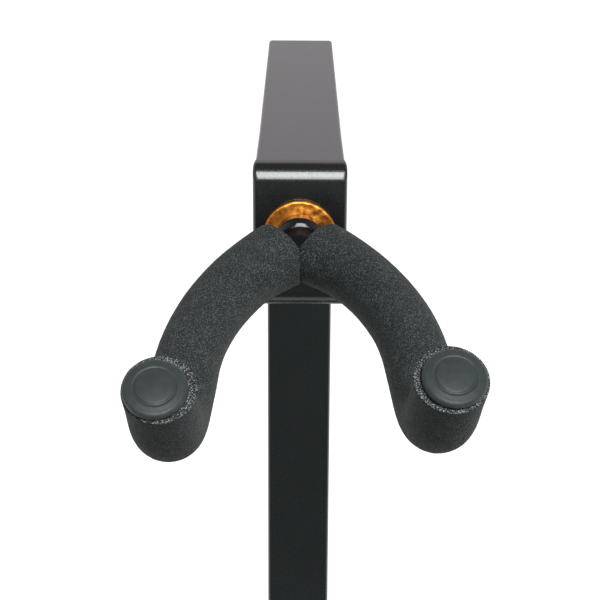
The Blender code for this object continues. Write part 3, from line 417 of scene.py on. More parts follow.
def gold_material():
    """Polished amber metal, unevenly tinted, with faint turned rings and a slow wave."""
    material, shader = material_base("gold_look", (0.92, 0.40, 0.06), 0.30, 0.80)
    tree = material.node_tree
    patina = noise_node(material, 560.0, 1.0)
    deep = (0.68, 0.19, 0.032)
    middle = (0.80, 0.27, 0.034)
    pale = (0.92, 0.37, 0.042)
    tone = ramp_node(material, patina, [(0.34, deep), (0.50, middle), (0.66, pale)])
    link(material, tone, shader.inputs["Base Color"])
    spot = tree.nodes.new("ShaderNodeTexCoord")
    mapping = tree.nodes.new("ShaderNodeMapping")
    set_inputs(mapping, {"Location": (0.0, 0.0, -ARM_MIDDLE), "Scale": (1.0, 0.0, 1.0)})
    rings = tree.nodes.new("ShaderNodeTexWave")
    rings.wave_type = "RINGS"
    rings.rings_direction = "SPHERICAL"
    set_inputs(rings, {"Scale": 700.0, "Distortion": 1.5})
    tree.links.new(spot.outputs["Object"], mapping.inputs["Vector"])
    tree.links.new(mapping.outputs["Vector"], rings.inputs["Vector"])
    wave = maths_node(material, noise_node(material, 380.0, 0.0), 16.0, "MULTIPLY")
    bump_node(material, shader, maths_node(material, rings.outputs["Fac"], wave), 0.00003, 0.8)
    uneven_gloss(material, shader, patina, 0.26, 0.36)
    return material


def foam_material(name, dark, light, scale, relief):
    """Charcoal foam: a dark skin of fine cells, with bright dots painted into its colour as glints
    of the proud cells.
    """
    material, shader = material_base(name, dark, 0.60)
    set_inputs(shader, {"Specular IOR Level": 0.10, "Sheen Weight": 0.02})
    set_inputs(shader, {"Sheen Roughness": 0.4, "Sheen Tint": (1.0, 0.90, 0.86, 1.0)})
    dots = dots_node(material, scale, 0.62, 0.20)
    grain = noise_node(material, 1.6 * scale, 2.0, rough=0.7)
    cells_and_glints = maths_node(material, dots, range_node(material, grain, 0.35, 0.75, 0.0, 0.35))
    tint = tuple(0.82 * a + 0.18 * b for a, b in zip(dark, light))
    cloud = range_node(material, noise_node(material, 160.0, 2.0), 0.35, 0.65, 0.88, 1.12)
    cells_and_glints = maths_node(material, cells_and_glints, cloud, "MULTIPLY")
    # Base colour from the dark skin to the pale dots: the pale dots are painted glints of the cells
    tone = ramp_node(material, cells_and_glints, [(0.05, dark), (0.40, tint), (0.95, light)])
    link(material, tone, shader.inputs["Base Color"])
    lumps = maths_node(material, noise_node(material, 700.0, 2.0), 0.8, "MULTIPLY")
    bump_node(material, shader, maths_node(material, cells_and_glints, lumps), relief, 0.9)
    return material


def rubber_material():
    """Dark grey rubber, faintly clouded and matt."""
    material, shader = material_base("rubber_look", (0.028, 0.035, 0.034), 0.50)
    dull = (0.023, 0.029, 0.028)
    bright = (0.033, 0.041, 0.040)
    cloudy_colour(material, shader, 500.0, 3.0, dull, bright)
    grain = noise_node(material, 2400.0, 2.0)
    uneven_gloss(material, shader, grain, 0.46, 0.60)
    bump_node(material, shader, grain, 0.00002, 0.5)
    return material


def metal_material(name, colour, roughness, stretch):
    """Plated or machined steel with fine marks along one direction."""
    material, shader = material_base(name, colour, roughness, 1.0)
    marks = noise_node(material, 900.0, 4.0, stretch)
    bright = tuple(min(1.0, 1.12 * c) for c in colour)
    dull = tuple(0.85 * c for c in colour)
    cloudy_colour(material, shader, 120.0, 3.0, dull, bright)
    uneven_gloss(material, shader, marks, roughness - 0.08, roughness + 0.1)
    bump_node(material, shader, marks, 0.00001, 0.5)
    return material


def plastic_material(name, colour, roughness):
    """Moulded plastic with a spark-eroded grain."""
    material, shader = material_base(name, colour, roughness)
    grain = noise_node(material, 1500.0, 3.0)
    dull = tuple(0.85 * c for c in colour)
    bright = tuple(min(1.0, 1.15 * c) for c in colour)
    cloudy_colour(material, shader, 80.0, 2.0, dull, bright)
    uneven_gloss(material, shader, grain, roughness - 0.06, roughness + 0.08)
    bump_node(material, shader, grain, 0.00004, 0.6)
    return material


# Mesh building

def new_object(name, data):
    """Object in the scene, around a mesh, a camera or a light."""
    item = bpy.data.objects.new(name, data)
    bpy.context.scene.collection.objects.link(item)
    return item


def new_piece(name, verts, faces, materials, body, replaced=()):
    """Smooth-shaded piece on a body of the frame and the nodes that it replaces."""
    mesh = bpy.data.meshes.new(name)
    mesh.from_pydata([tuple(v) for v in verts], [], faces)
    bm = bmesh.new()
    bm.from_mesh(mesh)
    bmesh.ops.recalc_face_normals(bm, faces=bm.faces)
    bm.to_mesh(mesh)
    bm.free()
    for material in materials:
        mesh.materials.append(material)
    mesh.shade_smooth()
    piece = new_object(name, mesh)
    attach(piece, body)
    if replaced:
        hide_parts(*replaced)
    return piece


def keep_flats(piece, angle=60.0):
    """Shade fillets smooth and flats flat."""
    piece.data.set_sharp_from_angle(angle=math.radians(angle))
    modifier = piece.modifiers.new("flats", "WEIGHTED_NORMAL")
    modifier.keep_sharp = True
    modifier.weight = 100


def bridge(loops, cyclic=False, capped=False):
    """Vertices and faces that join a row of loops of equal length, as a tube or a ring."""
    count = len(loops[0])
    verts = [point for loop in loops for point in loop]
    pairs = list(zip(range(len(loops)), range(1, len(loops))))
    if cyclic:
        pairs.append((len(loops) - 1, 0))
    faces = []
    for first, second in pairs:
        here, there = first * count, second * count
        for step in range(count):
            following = (step + 1) % count
            faces.append((here + step, here + following, there + following, there + step))
    if capped:
        faces.append(tuple(range(count))[::-1])
        faces.append(tuple(range(len(verts) - count, len(verts))))
    return verts, faces


def rounded_section(half_width, half_depth, radius, steps=CORNER_STEPS):
    """Corners of a rounded rectangle, as flat points, anticlockwise from +X."""
    points = []
    for quarter in range(4):
        side_x = 1 if quarter in (0, 3) else -1
        side_y = 1 if quarter in (0, 1) else -1
        centre_x = side_x * (half_width - radius)
        centre_y = side_y * (half_depth - radius)
        for step in range(steps + 1):
            angle = math.pi / 2 * (quarter + step / steps)
            x = centre_x + radius * math.cos(angle)
            points.append((x, centre_y + radius * math.sin(angle)))
    return points


def circle_section(radius, like):
    """Points of a circle in the same directions as the points of another section."""
    points = []
    for x, y in like:
        length = math.hypot(x, y)
        points.append((radius * x / length, radius * y / length))
    return points


def turned_point(matrix, radius, angle, height):
    """Point beside the matrix's own Z axis."""
    return matrix @ Vector((radius * math.cos(angle), radius * math.sin(angle), height))


def full_turn(steps):
    """Angles round a circle, in even steps."""
    return [2 * math.pi * step / steps for step in range(steps)]


def quarter_turn(steps):
    """Angles from 0 to 90 degrees, both ends included."""
    return [math.pi / 2 * step / steps for step in range(steps + 1)]


def ring_points(matrix, radius, height, segments):
    return [turned_point(matrix, radius, angle, height) for angle in full_turn(segments)]


def turned_piece(
    name, profile, matrix, materials, body, replaced=(), segments=ROUND_SEGMENTS
):
    """Solid turned from a profile of (radius, height), open or closed on the axis."""
    loops = [ring_points(matrix, radius, height, segments) for radius, height in profile]
    ring = profile[0][0] > 0 and profile[-1][0] > 0
    verts, faces = bridge(loops, cyclic=ring)
    piece = new_piece(name, verts, faces, materials, body, replaced)
    bm = bmesh.new()
    bm.from_mesh(piece.data)
    bmesh.ops.remove_doubles(bm, verts=bm.verts, dist=MERGE_DISTANCE)
    bmesh.ops.dissolve_degenerate(bm, edges=bm.edges, dist=SLIVER_LENGTH)
    bmesh.ops.recalc_face_normals(bm, faces=bm.faces)
    bm.to_mesh(piece.data)
    bm.free()
    keep_flats(piece, 40.0)


def arc_profile(centre_radius, centre_height, radius, start, end, steps):
    """Points of an arc in a turned profile, between two angles in degrees."""
    points = []
    for step in range(steps + 1):
        angle = math.radians(start + (end - start) * step / steps)
        across = centre_radius + radius * math.cos(angle)
        points.append((across, centre_height + radius * math.sin(angle)))
    return points


def rounded_rims(low, high, radius, steps):
    """Inset and height of each loop up a plate with rounded rims, between its two faces."""
    rims = []
    angles = quarter_turn(steps)
    for face, way, turns in ((low, 1, angles), (high, -1, angles[::-1])):
        for turn in turns:
            inset = radius * (1 - math.sin(turn))
            rims.append((inset, face + way * radius * (1 - math.cos(turn))))
    return rims


# Arm, cap and post

def smooth_step(share):
    share = min(1.0, max(0.0, share))
    return share * share * (3 - 2 * share)


def cap_section(behind, inset=0.0):
    """Section of the arm, a distance behind the cap's face: flush above, with a lip below."""
    ease = smooth_step((CAP_LENGTH - behind) / (CAP_LENGTH - CAP_FLARE_FULL))
    swell = SWELL * smooth_step((SWELL_LENGTH - behind) / (SWELL_LENGTH - CAP_LENGTH))
    half_width = TUBE_WIDTH / 2 + swell + (CAP_PROUD - SWELL) * ease
    top = TUBE_DEPTH / 2
    bottom = TUBE_DEPTH / 2 + CAP_LIP * ease
    corner = TUBE_CORNER + (CAP_EDGE_RADIUS - TUBE_CORNER) * ease
    if behind < CAP_NOSE_RADIUS:
        drop = CAP_NOSE_RADIUS - behind
        fall = CAP_NOSE_RADIUS - math.sqrt(CAP_NOSE_RADIUS ** 2 - drop ** 2)
        top -= fall
        bottom -= fall
    if behind < CAP_EDGE_RADIUS:
        drop = CAP_EDGE_RADIUS - behind
        half_width += math.sqrt(CAP_EDGE_RADIUS ** 2 - drop ** 2) - CAP_EDGE_RADIUS
    half_height = (top + bottom) / 2
    middle = (top - bottom) / 2
    section = rounded_section(half_width - inset, half_height - inset, corner)
    return [(x, middle + q) for x, q in section]


def arm_loop(section, y):
    return [Vector((x, y, ARM_MIDDLE + q)) for x, q in section]


def post_loop(section, z):
    return [Vector((x, POST_MIDDLE + q, z)) for x, q in section]


def mitre_loops(section, steps=4):
    """Sections round the corner, from the arm's end to the post's top."""
    loops = []
    for angle in quarter_turn(steps):
        back = -MITRE_RADIUS + MITRE_RADIUS * math.sin(angle)
        up = -MITRE_RADIUS + MITRE_RADIUS * math.cos(angle)
        loops.append(
            [Vector((x, POST_MIDDLE + q + back, ARM_MIDDLE + q + up)) for x, q in section]
        )
    return loops


def arm_stations():
    """Distances behind the cap's face at which the arm's skin has a loop."""
    stations = [CAP_NOSE_RADIUS * (1 - math.cos(angle)) for angle in quarter_turn(NOSE_STEPS)]
    stations += [CAP_EDGE_RADIUS * (1 - math.cos(angle)) for angle in quarter_turn(EDGE_STEPS)]
    for start, end in ((CAP_NOSE_RADIUS, CAP_LENGTH), (CAP_LENGTH, SWELL_LENGTH)):
        stations += [start + (end - start) * k / SWELL_STEPS for k in range(SWELL_STEPS + 1)]
    stations += ARM_RINGS
    return sorted(set(round(s, 7) for s in stations))


def make_upper_frame(paint):
    """Arm, cap and post as one painted shell, with its bore and its wall."""
    face = cap_section(0.0)
    bore = circle_section(CAP_BORE_RADIUS, face)
    bore_edge = circle_section(CAP_BORE_RADIUS + CAP_BORE_EDGE, face)
    tube = rounded_section(TUBE_WIDTH / 2, TUBE_DEPTH / 2, TUBE_CORNER)
    hollow = rounded_section(
        TUBE_WIDTH / 2 - TUBE_WALL, TUBE_DEPTH / 2 - TUBE_WALL, TUBE_INNER_CORNER
    )
    loops = [arm_loop(bore, CAP_FACE + CAP_WALL), arm_loop(bore, CAP_FACE + CAP_BORE_EDGE)]
    loops += [arm_loop(bore_edge, CAP_FACE), arm_loop(cap_section(0.0, CAP_FACE_INSET), CAP_FACE)]
    loops += [arm_loop(cap_section(behind), CAP_FACE + behind) for behind in arm_stations()]
    loops += mitre_loops(tube)
    loops += [post_loop(tube, ARM_MIDDLE - TUBE_DEPTH), post_loop(tube, POST_BOTTOM)]
    loops += [post_loop(hollow, POST_BOTTOM), post_loop(hollow, ARM_MIDDLE - TUBE_DEPTH)]
    loops += mitre_loops(hollow)[::-1]
    loops += [arm_loop(hollow, CAP_FACE + CAP_WALL)]
    verts, faces = bridge(loops, cyclic=True)
    piece = new_piece(
        "upper_frame", verts, faces, [paint], "mast",
        ("arm_tube", "arm_end_cap", "post_tube"),
    )
    keep_flats(piece)


# Yoke

def yoke_frame(distance, side):
    """Centre, tangent, outward and upward directions, a distance from the foam's root."""
    if distance <= 0.0:
        heading = min(math.pi / 2, YOKE_SPREAD - distance / ROOT_BEND_RADIUS)
        centre = Vector((math.cos(heading), 1 - math.sin(heading), 0.0)) * ROOT_BEND_RADIUS
    else:
        heading = YOKE_SPREAD - min(distance, SWEEP_LENGTH) / YOKE_SWEEP_RADIUS
        across = math.cos(heading) - math.cos(YOKE_SPREAD)
        ahead = math.sin(YOKE_SPREAD) - math.sin(heading)
        root = Vector((math.cos(YOKE_SPREAD), 1 - math.sin(YOKE_SPREAD), 0.0)) * ROOT_BEND_RADIUS
        centre = root + Vector((across, ahead, 0.0)) * YOKE_SWEEP_RADIUS
    level = Vector((math.sin(heading), math.cos(heading), 0.0))
    beside = Vector((math.cos(heading), -math.sin(heading), 0.0))
    above = Vector((0.0, 0.0, 1.0))
    up = above * math.cos(YOKE_LEAN) + beside * side * math.sin(YOKE_LEAN)
    outward = beside * math.cos(YOKE_LEAN) - above * side * math.sin(YOKE_LEAN)
    beyond = max(distance - SWEEP_LENGTH, 0.0)
    straight = min(beyond, YOKE_STRAIGHT)
    rise = min(max(beyond - YOKE_STRAIGHT, 0.0), UPTURN_LENGTH) / YOKE_UPTURN_RADIUS
    tip = max(beyond - YOKE_STRAIGHT - UPTURN_LENGTH, 0.0)
    tangent = level * math.cos(rise) + up * math.sin(rise)
    upward = up * math.cos(rise) - level * math.sin(rise)
    turned = level * math.sin(rise) + up * (1 - math.cos(rise))
    centre = centre + level * straight + turned * YOKE_UPTURN_RADIUS + tangent * tip
    return centre, tangent, outward, upward


SWIVEL = Matrix.Translation((0.0, CAP_FACE, ARM_MIDDLE)) @ Matrix.Rotation(YOKE_SET_ANGLE, 4, "Y")


def yoke_place(point, side):
    """Place of a point of the flat yoke, x to the side and y ahead, once drooped and set."""
    ahead = point.y * math.cos(YOKE_DROOP) + point.z * math.sin(YOKE_DROOP)
    height = point.z * math.cos(YOKE_DROOP) - point.y * math.sin(YOKE_DROOP)
    return SWIVEL @ Vector((side * point.x, -(YOKE_AHEAD + ahead), height))


def foam_loop(distance, radius, side, relief):
    """One ring of the foam: bulged and pressed at its root, flared at its tip, with its relief."""
    centre, tangent, outward, upward = yoke_frame(distance, side)
    seed = FOAM_SEED * side
    loop = []
    for angle in full_turn(FOAM_RING):
        inward = max(0.0, -math.cos(angle))
        swell = FOAM_PRESS * inward ** 2 * math.exp(-((distance / FOAM_PRESS_LENGTH) ** 2))
        bulge = FOAM_BULGE_EVEN + FOAM_BULGE_ABOVE * math.sin(angle)
        swell += FOAM_BULGE[side] * bulge * math.exp(-((distance / FOAM_BULGE_LENGTH[side]) ** 2))
        swell += FOAM_FLARE * math.exp(-(((FOAM_LENGTH - distance) / FOAM_FLARE_LENGTH) ** 2))
        direction = outward * math.cos(angle) + upward * math.sin(angle)
        point = centre + direction * radius
        wave = FOAM_WAVE_RELIEF * noise.noise(point * FOAM_WAVE_SCALE + seed)
        cells = FOAM_CELL_RELIEF * noise.noise(point * FOAM_CELL_SCALE + seed)
        share = radius / (FOAM_DIAMETER / 2)
        point = point + direction * (share * swell + relief * (wave + cells))
        point.x = max(point.x, FOAM_HALF_GAP)
        loop.append(yoke_place(point, side))
    return loop


def make_foam(side, word, skin, cut):
    """Foam sleeve with its bore, its skin outside and cut foam on its ends."""
    outer = FOAM_DIAMETER / 2
    edge = FOAM_EDGE_RADIUS
    root = [(0.0, FOAM_BORE_RADIUS), (0.0, 0.5 * (FOAM_BORE_RADIUS + outer)), (0.0, outer - edge)]
    tip = []
    rings = 8
    for step in range(rings + 1):
        radius = FOAM_BORE_RADIUS + (outer - edge - FOAM_BORE_RADIUS) * step / rings
        tip.append((FOAM_LENGTH, radius))
    for angle in quarter_turn(4)[1:]:
        inset = edge * (1 - math.cos(angle))
        grown = outer - edge + edge * math.sin(angle)
        root.append((inset, grown))
        tip.append((FOAM_LENGTH - inset, grown))
    count = round((FOAM_LENGTH - 2 * edge) / FOAM_STEP)
    middle = [(edge + (FOAM_LENGTH - 2 * edge) * k / count, outer) for k in range(1, count)]
    bore_count = 60
    bore = [(FOAM_LENGTH * (1 - k / bore_count), FOAM_BORE_RADIUS) for k in range(1, bore_count)]
    stations = root + middle + tip[::-1] + bore
    loops = []
    for distance, radius in stations:
        relief = 0.0 if radius <= FOAM_BORE_RADIUS else 1.0
        loops.append(foam_loop(distance, radius, side, relief))
    verts, faces = bridge(loops, cyclic=True)
    foam = new_piece(
        f"{word}_foam", verts, faces, [skin, cut], "yoke", (f"{word}_foam_sleeve",)
    )
    # The cut ends are the flats of the tip and of the root
    first_tip = len(root) + len(middle) + 2
    last_tip = len(root) + len(middle) + len(tip)
    for polygon in foam.data.polygons:
        ring = polygon.index // FOAM_RING
        if first_tip <= ring < last_tip or ring < 3:
            polygon.material_index = 1


def make_yoke_rod(black):
    """Bent rod from tip to tip, through both sleeves and the stem's head."""
    loops = []
    half_root = ROOT_BEND_RADIUS * (math.pi / 2 - YOKE_SPREAD)
    length = half_root + FOAM_LENGTH + TIP_CAP_SOCKET_DEPTH
    count = 110
    segments = 28
    for k in range(-count, count + 1):
        side = 1 if k >= 0 else -1
        centre, tangent, outward, upward = yoke_frame(length * abs(k) / count - half_root, side)
        loop = []
        for angle in full_turn(segments):
            across = math.cos(angle) * side
            direction = outward * across + upward * math.sin(angle)
            loop.append(yoke_place(centre + direction * (ROD_DIAMETER / 2), side))
        loops.append(loop)
    verts, faces = bridge(loops, capped=True)
    piece = new_piece("bent_rod", verts, faces, [black], "yoke", ("yoke_rod",))
    keep_flats(piece)


def make_tip_cap(side, word, rubber):
    """Domed cap with a plain ring groove, on the foam's cut end."""
    centre, tangent, outward, upward = yoke_frame(FOAM_LENGTH, side)
    seat = centre + outward * TIP_CAP_OUT[side] - upward * TIP_CAP_AHEAD[side]
    base = yoke_place(seat, side)
    ahead = yoke_place(seat + tangent, side) - base
    turn = Vector((0.0, 0.0, 1.0)).rotation_difference(ahead).to_matrix().to_4x4()
    bottom = GAP
    shoulder = bottom + TIP_CAP_SIDE
    edge = TIP_CAP_ROUND
    lower = TIP_CAP_LOWER_EDGE

    def crown(distance):
        return shoulder + TIP_CAP_DOME * (1 - (distance / TIP_CAP_RADIUS) ** 2)

    profile = []
    steps = 40
    for step in range(steps + 1):
        distance = (TIP_CAP_RADIUS - edge) * step / steps
        off_ring = (distance - TIP_CAP_RING_RADIUS) / (TIP_CAP_RING_WIDTH / 2)
        groove = TIP_CAP_RING_DEPTH * math.exp(-off_ring * off_ring)
        profile.append((distance, crown(distance) - groove))
    rim = crown(TIP_CAP_RADIUS - edge) - edge
    profile += arc_profile(TIP_CAP_RADIUS - edge, rim, edge, 80, 0, 6)
    profile += arc_profile(TIP_CAP_RADIUS - lower, bottom + lower, lower, 0, -90, 4)
    socket = TIP_CAP_SOCKET_RADIUS
    socket_top = bottom + TIP_CAP_SOCKET_DEPTH
    profile += [(socket, bottom), (socket, socket_top), (0.0, socket_top)]
    turned_piece(
        f"{word}_cap", profile, Matrix.Translation(base) @ turn, [rubber], "yoke",
        (f"{word}_tip_cap",),
    )


def swivel_axis():
    """Turned pieces on the swivel: height runs forward from the cap's face."""
    return Matrix.Translation((0.0, CAP_FACE, ARM_MIDDLE)) @ Matrix.Rotation(math.pi / 2, 4, "X")


def make_washer(gold):
    """Thrust washer with rounded rims and a shallow dished face."""
    front = CAP_FACE - WASHER_FRONT
    back = CAP_FACE - WASHER_BACK
    rim = WASHER_RIM
    profile = [(radius, front - depth) for radius, depth in WASHER_DISH]
    profile += arc_profile(WASHER_RADIUS - rim, front - rim, rim, 90, 0, 5)
    profile += arc_profile(WASHER_RADIUS - rim, back + rim, rim, 0, -90, 5)
    profile += [(WASHER_BORE_RADIUS, back)]
    turned_piece(
        "amber_washer", profile, swivel_axis(), [gold], "mast", ("thrust_washer",),
        segments=128,
    )


def make_stem(black):
    """Stem with its domed head in front, through the collar, the washer and the cap."""
    head = STEM_HEAD_RADIUS
    front = CAP_FACE - STEM_HEAD_FRONT
    head_back = CAP_FACE - COLLAR_FRONT + GAP
    back = CAP_FACE - STEM_BACK
    centre = front - head
    profile = [(0.0, front)]
    profile += arc_profile(0.0, centre, head, 84, 0, 16)
    chamfer = STEM_HEAD_CHAMFER
    profile += [(head, head_back + chamfer), (head - chamfer, head_back), (STEM_RADIUS, head_back)]
    chamfer = STEM_END_CHAMFER
    profile += [(STEM_RADIUS, back + chamfer), (STEM_RADIUS - chamfer, back), (0.0, back)]
    turned_piece("stem", profile, swivel_axis(), [black], "yoke", ("swivel_stem",))


def make_collar(black):
    """Round-nosed collar between the washer and the stem's head."""
    back = CAP_FACE - COLLAR_BACK
    front = CAP_FACE - COLLAR_FRONT
    profile = [(WASHER_BORE_RADIUS, front)]
    profile += arc_profile(COLLAR_RADIUS - COLLAR_RIM, front - COLLAR_RIM, COLLAR_RIM, 90, 0, 14)
    profile += [(COLLAR_RADIUS, back + COLLAR_CHAMFER), (COLLAR_RADIUS - COLLAR_CHAMFER, back)]
    profile += [(WASHER_BORE_RADIUS, back)]
    turned_piece(
        "collar", profile, swivel_axis(), [black], "yoke", ("stem_collar",)
    )


# Base, lower tube and clamp

def level_loop(section, centre_y, z):
    return [Vector((x, centre_y + y, z)) for x, y in section]


def make_lower_tube(paint):
    """Outer tube of the mast, with its wall and its slightly rounded ends."""
    low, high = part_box("lower_mast_tube")
    centre = (low.y + high.y) / 2
    half_width = LOWER_TUBE_WIDTH / 2
    half_depth = LOWER_TUBE_DEPTH / 2
    edge = LOWER_TUBE_EDGE
    full = rounded_section(half_width, half_depth, LOWER_TUBE_CORNER)
    drawn = rounded_section(half_width - edge, half_depth - edge, LOWER_TUBE_CORNER - edge)
    wall = LOWER_TUBE_WALL
    hollow = rounded_section(half_width - wall, half_depth - wall, LOWER_TUBE_CORNER - wall)
    loops = [
        level_loop(hollow, centre, low.z),
        level_loop(drawn, centre, low.z),
        level_loop(full, centre, low.z + edge),
        level_loop(full, centre, high.z - edge),
        level_loop(drawn, centre, high.z),
        level_loop(hollow, centre, high.z),
    ]
    verts, faces = bridge(loops, cyclic=True)
    piece = new_piece(
        "lower_tube", verts, faces, [paint], "base", ("lower_mast_tube",)
    )
    mesh = cylinder_mesh("clamp_hole", CLAMP_HOLE_RADIUS, CLAMP_HOLE_LENGTH, 48)
    hole = new_object("clamp_hole", mesh)
    hole.matrix_world = clamp_axis() @ Matrix.Translation((0.0, 0.0, -CUT_PAST))
    cut_away(piece, [hole])
    keep_flats(piece)


def cylinder_mesh(name, radius, length, segments):
    bm = bmesh.new()
    bmesh.ops.create_cone(
        bm, cap_ends=True, segments=segments, radius1=radius, radius2=radius, depth=length
    )
    mesh = bpy.data.meshes.new(name)
    bm.to_mesh(mesh)
    bm.free()
    return mesh


def cut_away(piece, cutters):
    """Subtract cutters from a piece for good, and delete them."""
    for cutter in cutters:
        modifier = piece.modifiers.new("cut", "BOOLEAN")
        modifier.operation = "DIFFERENCE"
        modifier.solver = "EXACT"
        modifier.object = cutter
    bpy.context.view_layer.update()
    graph = bpy.context.evaluated_depsgraph_get()
    mesh = bpy.data.meshes.new_from_object(piece.evaluated_get(graph))
    piece.modifiers.clear()
    piece.data = mesh
    for cutter in cutters:
        bpy.data.objects.remove(cutter, do_unlink=True)


def screw_hole_mesh(node, low, high):
    """Countersunk hole for a screw of the frame, from a plate's lower face up through its top."""
    box_low, box_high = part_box(node)
    centre = (box_low + box_high) / 2
    head = (box_high.x - box_low.x) / 2 + GAP
    shank = SCREW_SHANK_RADIUS + GAP
    place = Matrix.Translation((centre.x, centre.y, 0.0))
    profile = [(head, low - CUT_PAST), (head, low + SCREW_HEAD_TOP)]
    profile += [(shank, low + SCREW_CONE_TOP), (shank, high + CUT_PAST)]
    loops = [ring_points(place, radius, z, 48) for radius, z in profile]
    verts, faces = bridge(loops, capped=True)
    mesh = bpy.data.meshes.new("screw_hole")
    mesh.from_pydata([tuple(v) for v in verts], [], faces)
    return mesh


def make_base_plate(paint):
    """Plate with rounded rims, two countersunk holes and four blind holes for the feet."""
    low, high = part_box("base_plate")
    half_width = (high.x - low.x) / 2
    half_depth = (high.y - low.y) / 2
    loops = []
    for inset, z in rounded_rims(low.z, high.z, PLATE_EDGE, 5):
        section = rounded_section(half_width - inset, half_depth - inset, PLATE_CORNER - inset, 24)
        loops.append(level_loop(section, 0.0, z))
    verts, faces = bridge(loops, capped=True)
    piece = new_piece("plate", verts, faces, [paint], "base", ("base_plate",))
    cutters = []
    for node in ("mast_screw_front", "mast_screw_rear"):
        cutters.append(new_object("screw_hole", screw_hole_mesh(node, low.z, high.z)))
    for node in ("front_left", "front_right", "rear_left", "rear_right"):
        box_low, box_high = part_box(f"foot_screw_{node}")
        centre = (box_low + box_high) / 2
        depth = box_high.z - low.z + GAP
        mesh = cylinder_mesh("foot_hole", FOOT_BORE_RADIUS, 2 * depth, 32)
        cutter = new_object("foot_hole", mesh)
        cutter.matrix_world = Matrix.Translation((centre.x, centre.y, low.z))
        cutters.append(cutter)
    cut_away(piece, cutters)
    keep_flats(piece, 40.0)


def make_feet(rubber):
    """Tapered feet, each with a recess below for its screw's head."""
    top = FOOT_RADIUS - FOOT_TAPER
    recess = FOOT_RECESS_RADIUS
    for word in ("front_left", "front_right", "rear_left", "rear_right"):
        low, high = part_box(f"rubber_foot_{word}")
        middle = (low + high) / 2
        height = high.z - low.z
        profile = [(FOOT_BORE_RADIUS, height), (top - FOOT_CHAMFER, height)]
        profile += [(top, height - FOOT_CHAMFER)]
        profile += arc_profile(FOOT_RADIUS - FOOT_EDGE, FOOT_EDGE, FOOT_EDGE, 0, -90, 6)
        profile += [(recess + FOOT_CHAMFER, 0.0), (recess, FOOT_CHAMFER)]
        profile += [(recess, FOOT_RECESS_DEPTH), (FOOT_BORE_RADIUS, FOOT_RECESS_DEPTH)]
        turned_piece(
            f"foot_{word}", profile, Matrix.Translation((middle.x, middle.y, low.z)), [rubber],
            "base", (f"rubber_foot_{word}",), segments=72,
        )


def clamp_axis():
    """Turned pieces of the clamp: height runs back from the lower tube's rear face."""
    low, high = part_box("clamp_boss")
    centre = (0.0, LOWER_TUBE_BACK, (low.z + high.z) / 2)
    return Matrix.Translation(centre) @ Matrix.Rotation(-math.pi / 2, 4, "X")


def make_weld(paint):
    """Painted weld bead round the clamp boss, with the ripples of its passes."""
    boss_radius = (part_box("clamp_boss")[1].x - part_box("clamp_boss")[0].x) / 2
    place = clamp_axis()
    loops = []
    for angle in full_turn(160):
        uneven = WELD_UNEVEN * noise.noise(Vector((3 * math.cos(angle), 3 * math.sin(angle), 0.0)))
        reach = WELD_RADIUS * (1.0 + WELD_RIPPLE * math.sin(WELD_RIPPLES * angle) + uneven)
        profile = [(boss_radius - WELD_SINK, WELD_LIFT)]
        for turn in quarter_turn(8):
            hollow = 1 - WELD_HOLLOW * math.sin(2 * turn)
            out = reach * (WELD_TOE + (1 - WELD_TOE) * math.cos(turn)) * hollow
            profile.append((boss_radius + out, WELD_LIFT + reach * math.sin(turn) * hollow))
        profile.append((boss_radius - WELD_SINK, WELD_LIFT + reach))
        loops.append([turned_point(place, radius, angle, height) for radius, height in profile])
    verts, faces = bridge(loops, cyclic=True)
    new_piece("clamp_weld", verts, faces, [paint], "base")


def make_clamp_screw(zinc):
    """Screw with a real helical thread from its tip to the knob."""
    low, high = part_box("clamp_screw")
    start = low.y - LOWER_TUBE_BACK
    end = high.y - LOWER_TUBE_BACK
    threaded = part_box("clamp_knob")[0].y - LOWER_TUBE_BACK + THREAD_INTO_KNOB
    segments = 40
    rows = 8 * round((threaded - start) / THREAD_PITCH)
    place = clamp_axis()
    loops = []
    for row in range(rows + 1):
        height = start + (threaded - start) * row / rows
        taper = THREAD_TIP_TAPER * (1 - min(1.0, (height - start) / THREAD_TIP_LENGTH))
        loop = []
        for step in range(segments):
            share = step / segments
            phase = (height / THREAD_PITCH - share) % 1.0
            groove = min(1.0, max(0.0, THREAD_FLANK * abs(2 * phase - 1) - THREAD_CREST))
            radius = CLAMP_RADIUS - THREAD_DEPTH * groove - taper
            loop.append(turned_point(place, radius, 2 * math.pi * share, height))
        loops.append(loop)
    for height in (threaded + THREAD_RUN_OUT, end):
        loops.append(ring_points(place, CLAMP_RADIUS, height, segments))
    verts, faces = bridge(loops, capped=True)
    piece = new_piece(
        "threaded_screw", verts, faces, [zinc], "clamp_grip", ("clamp_screw",)
    )
    keep_flats(piece, 50.0)


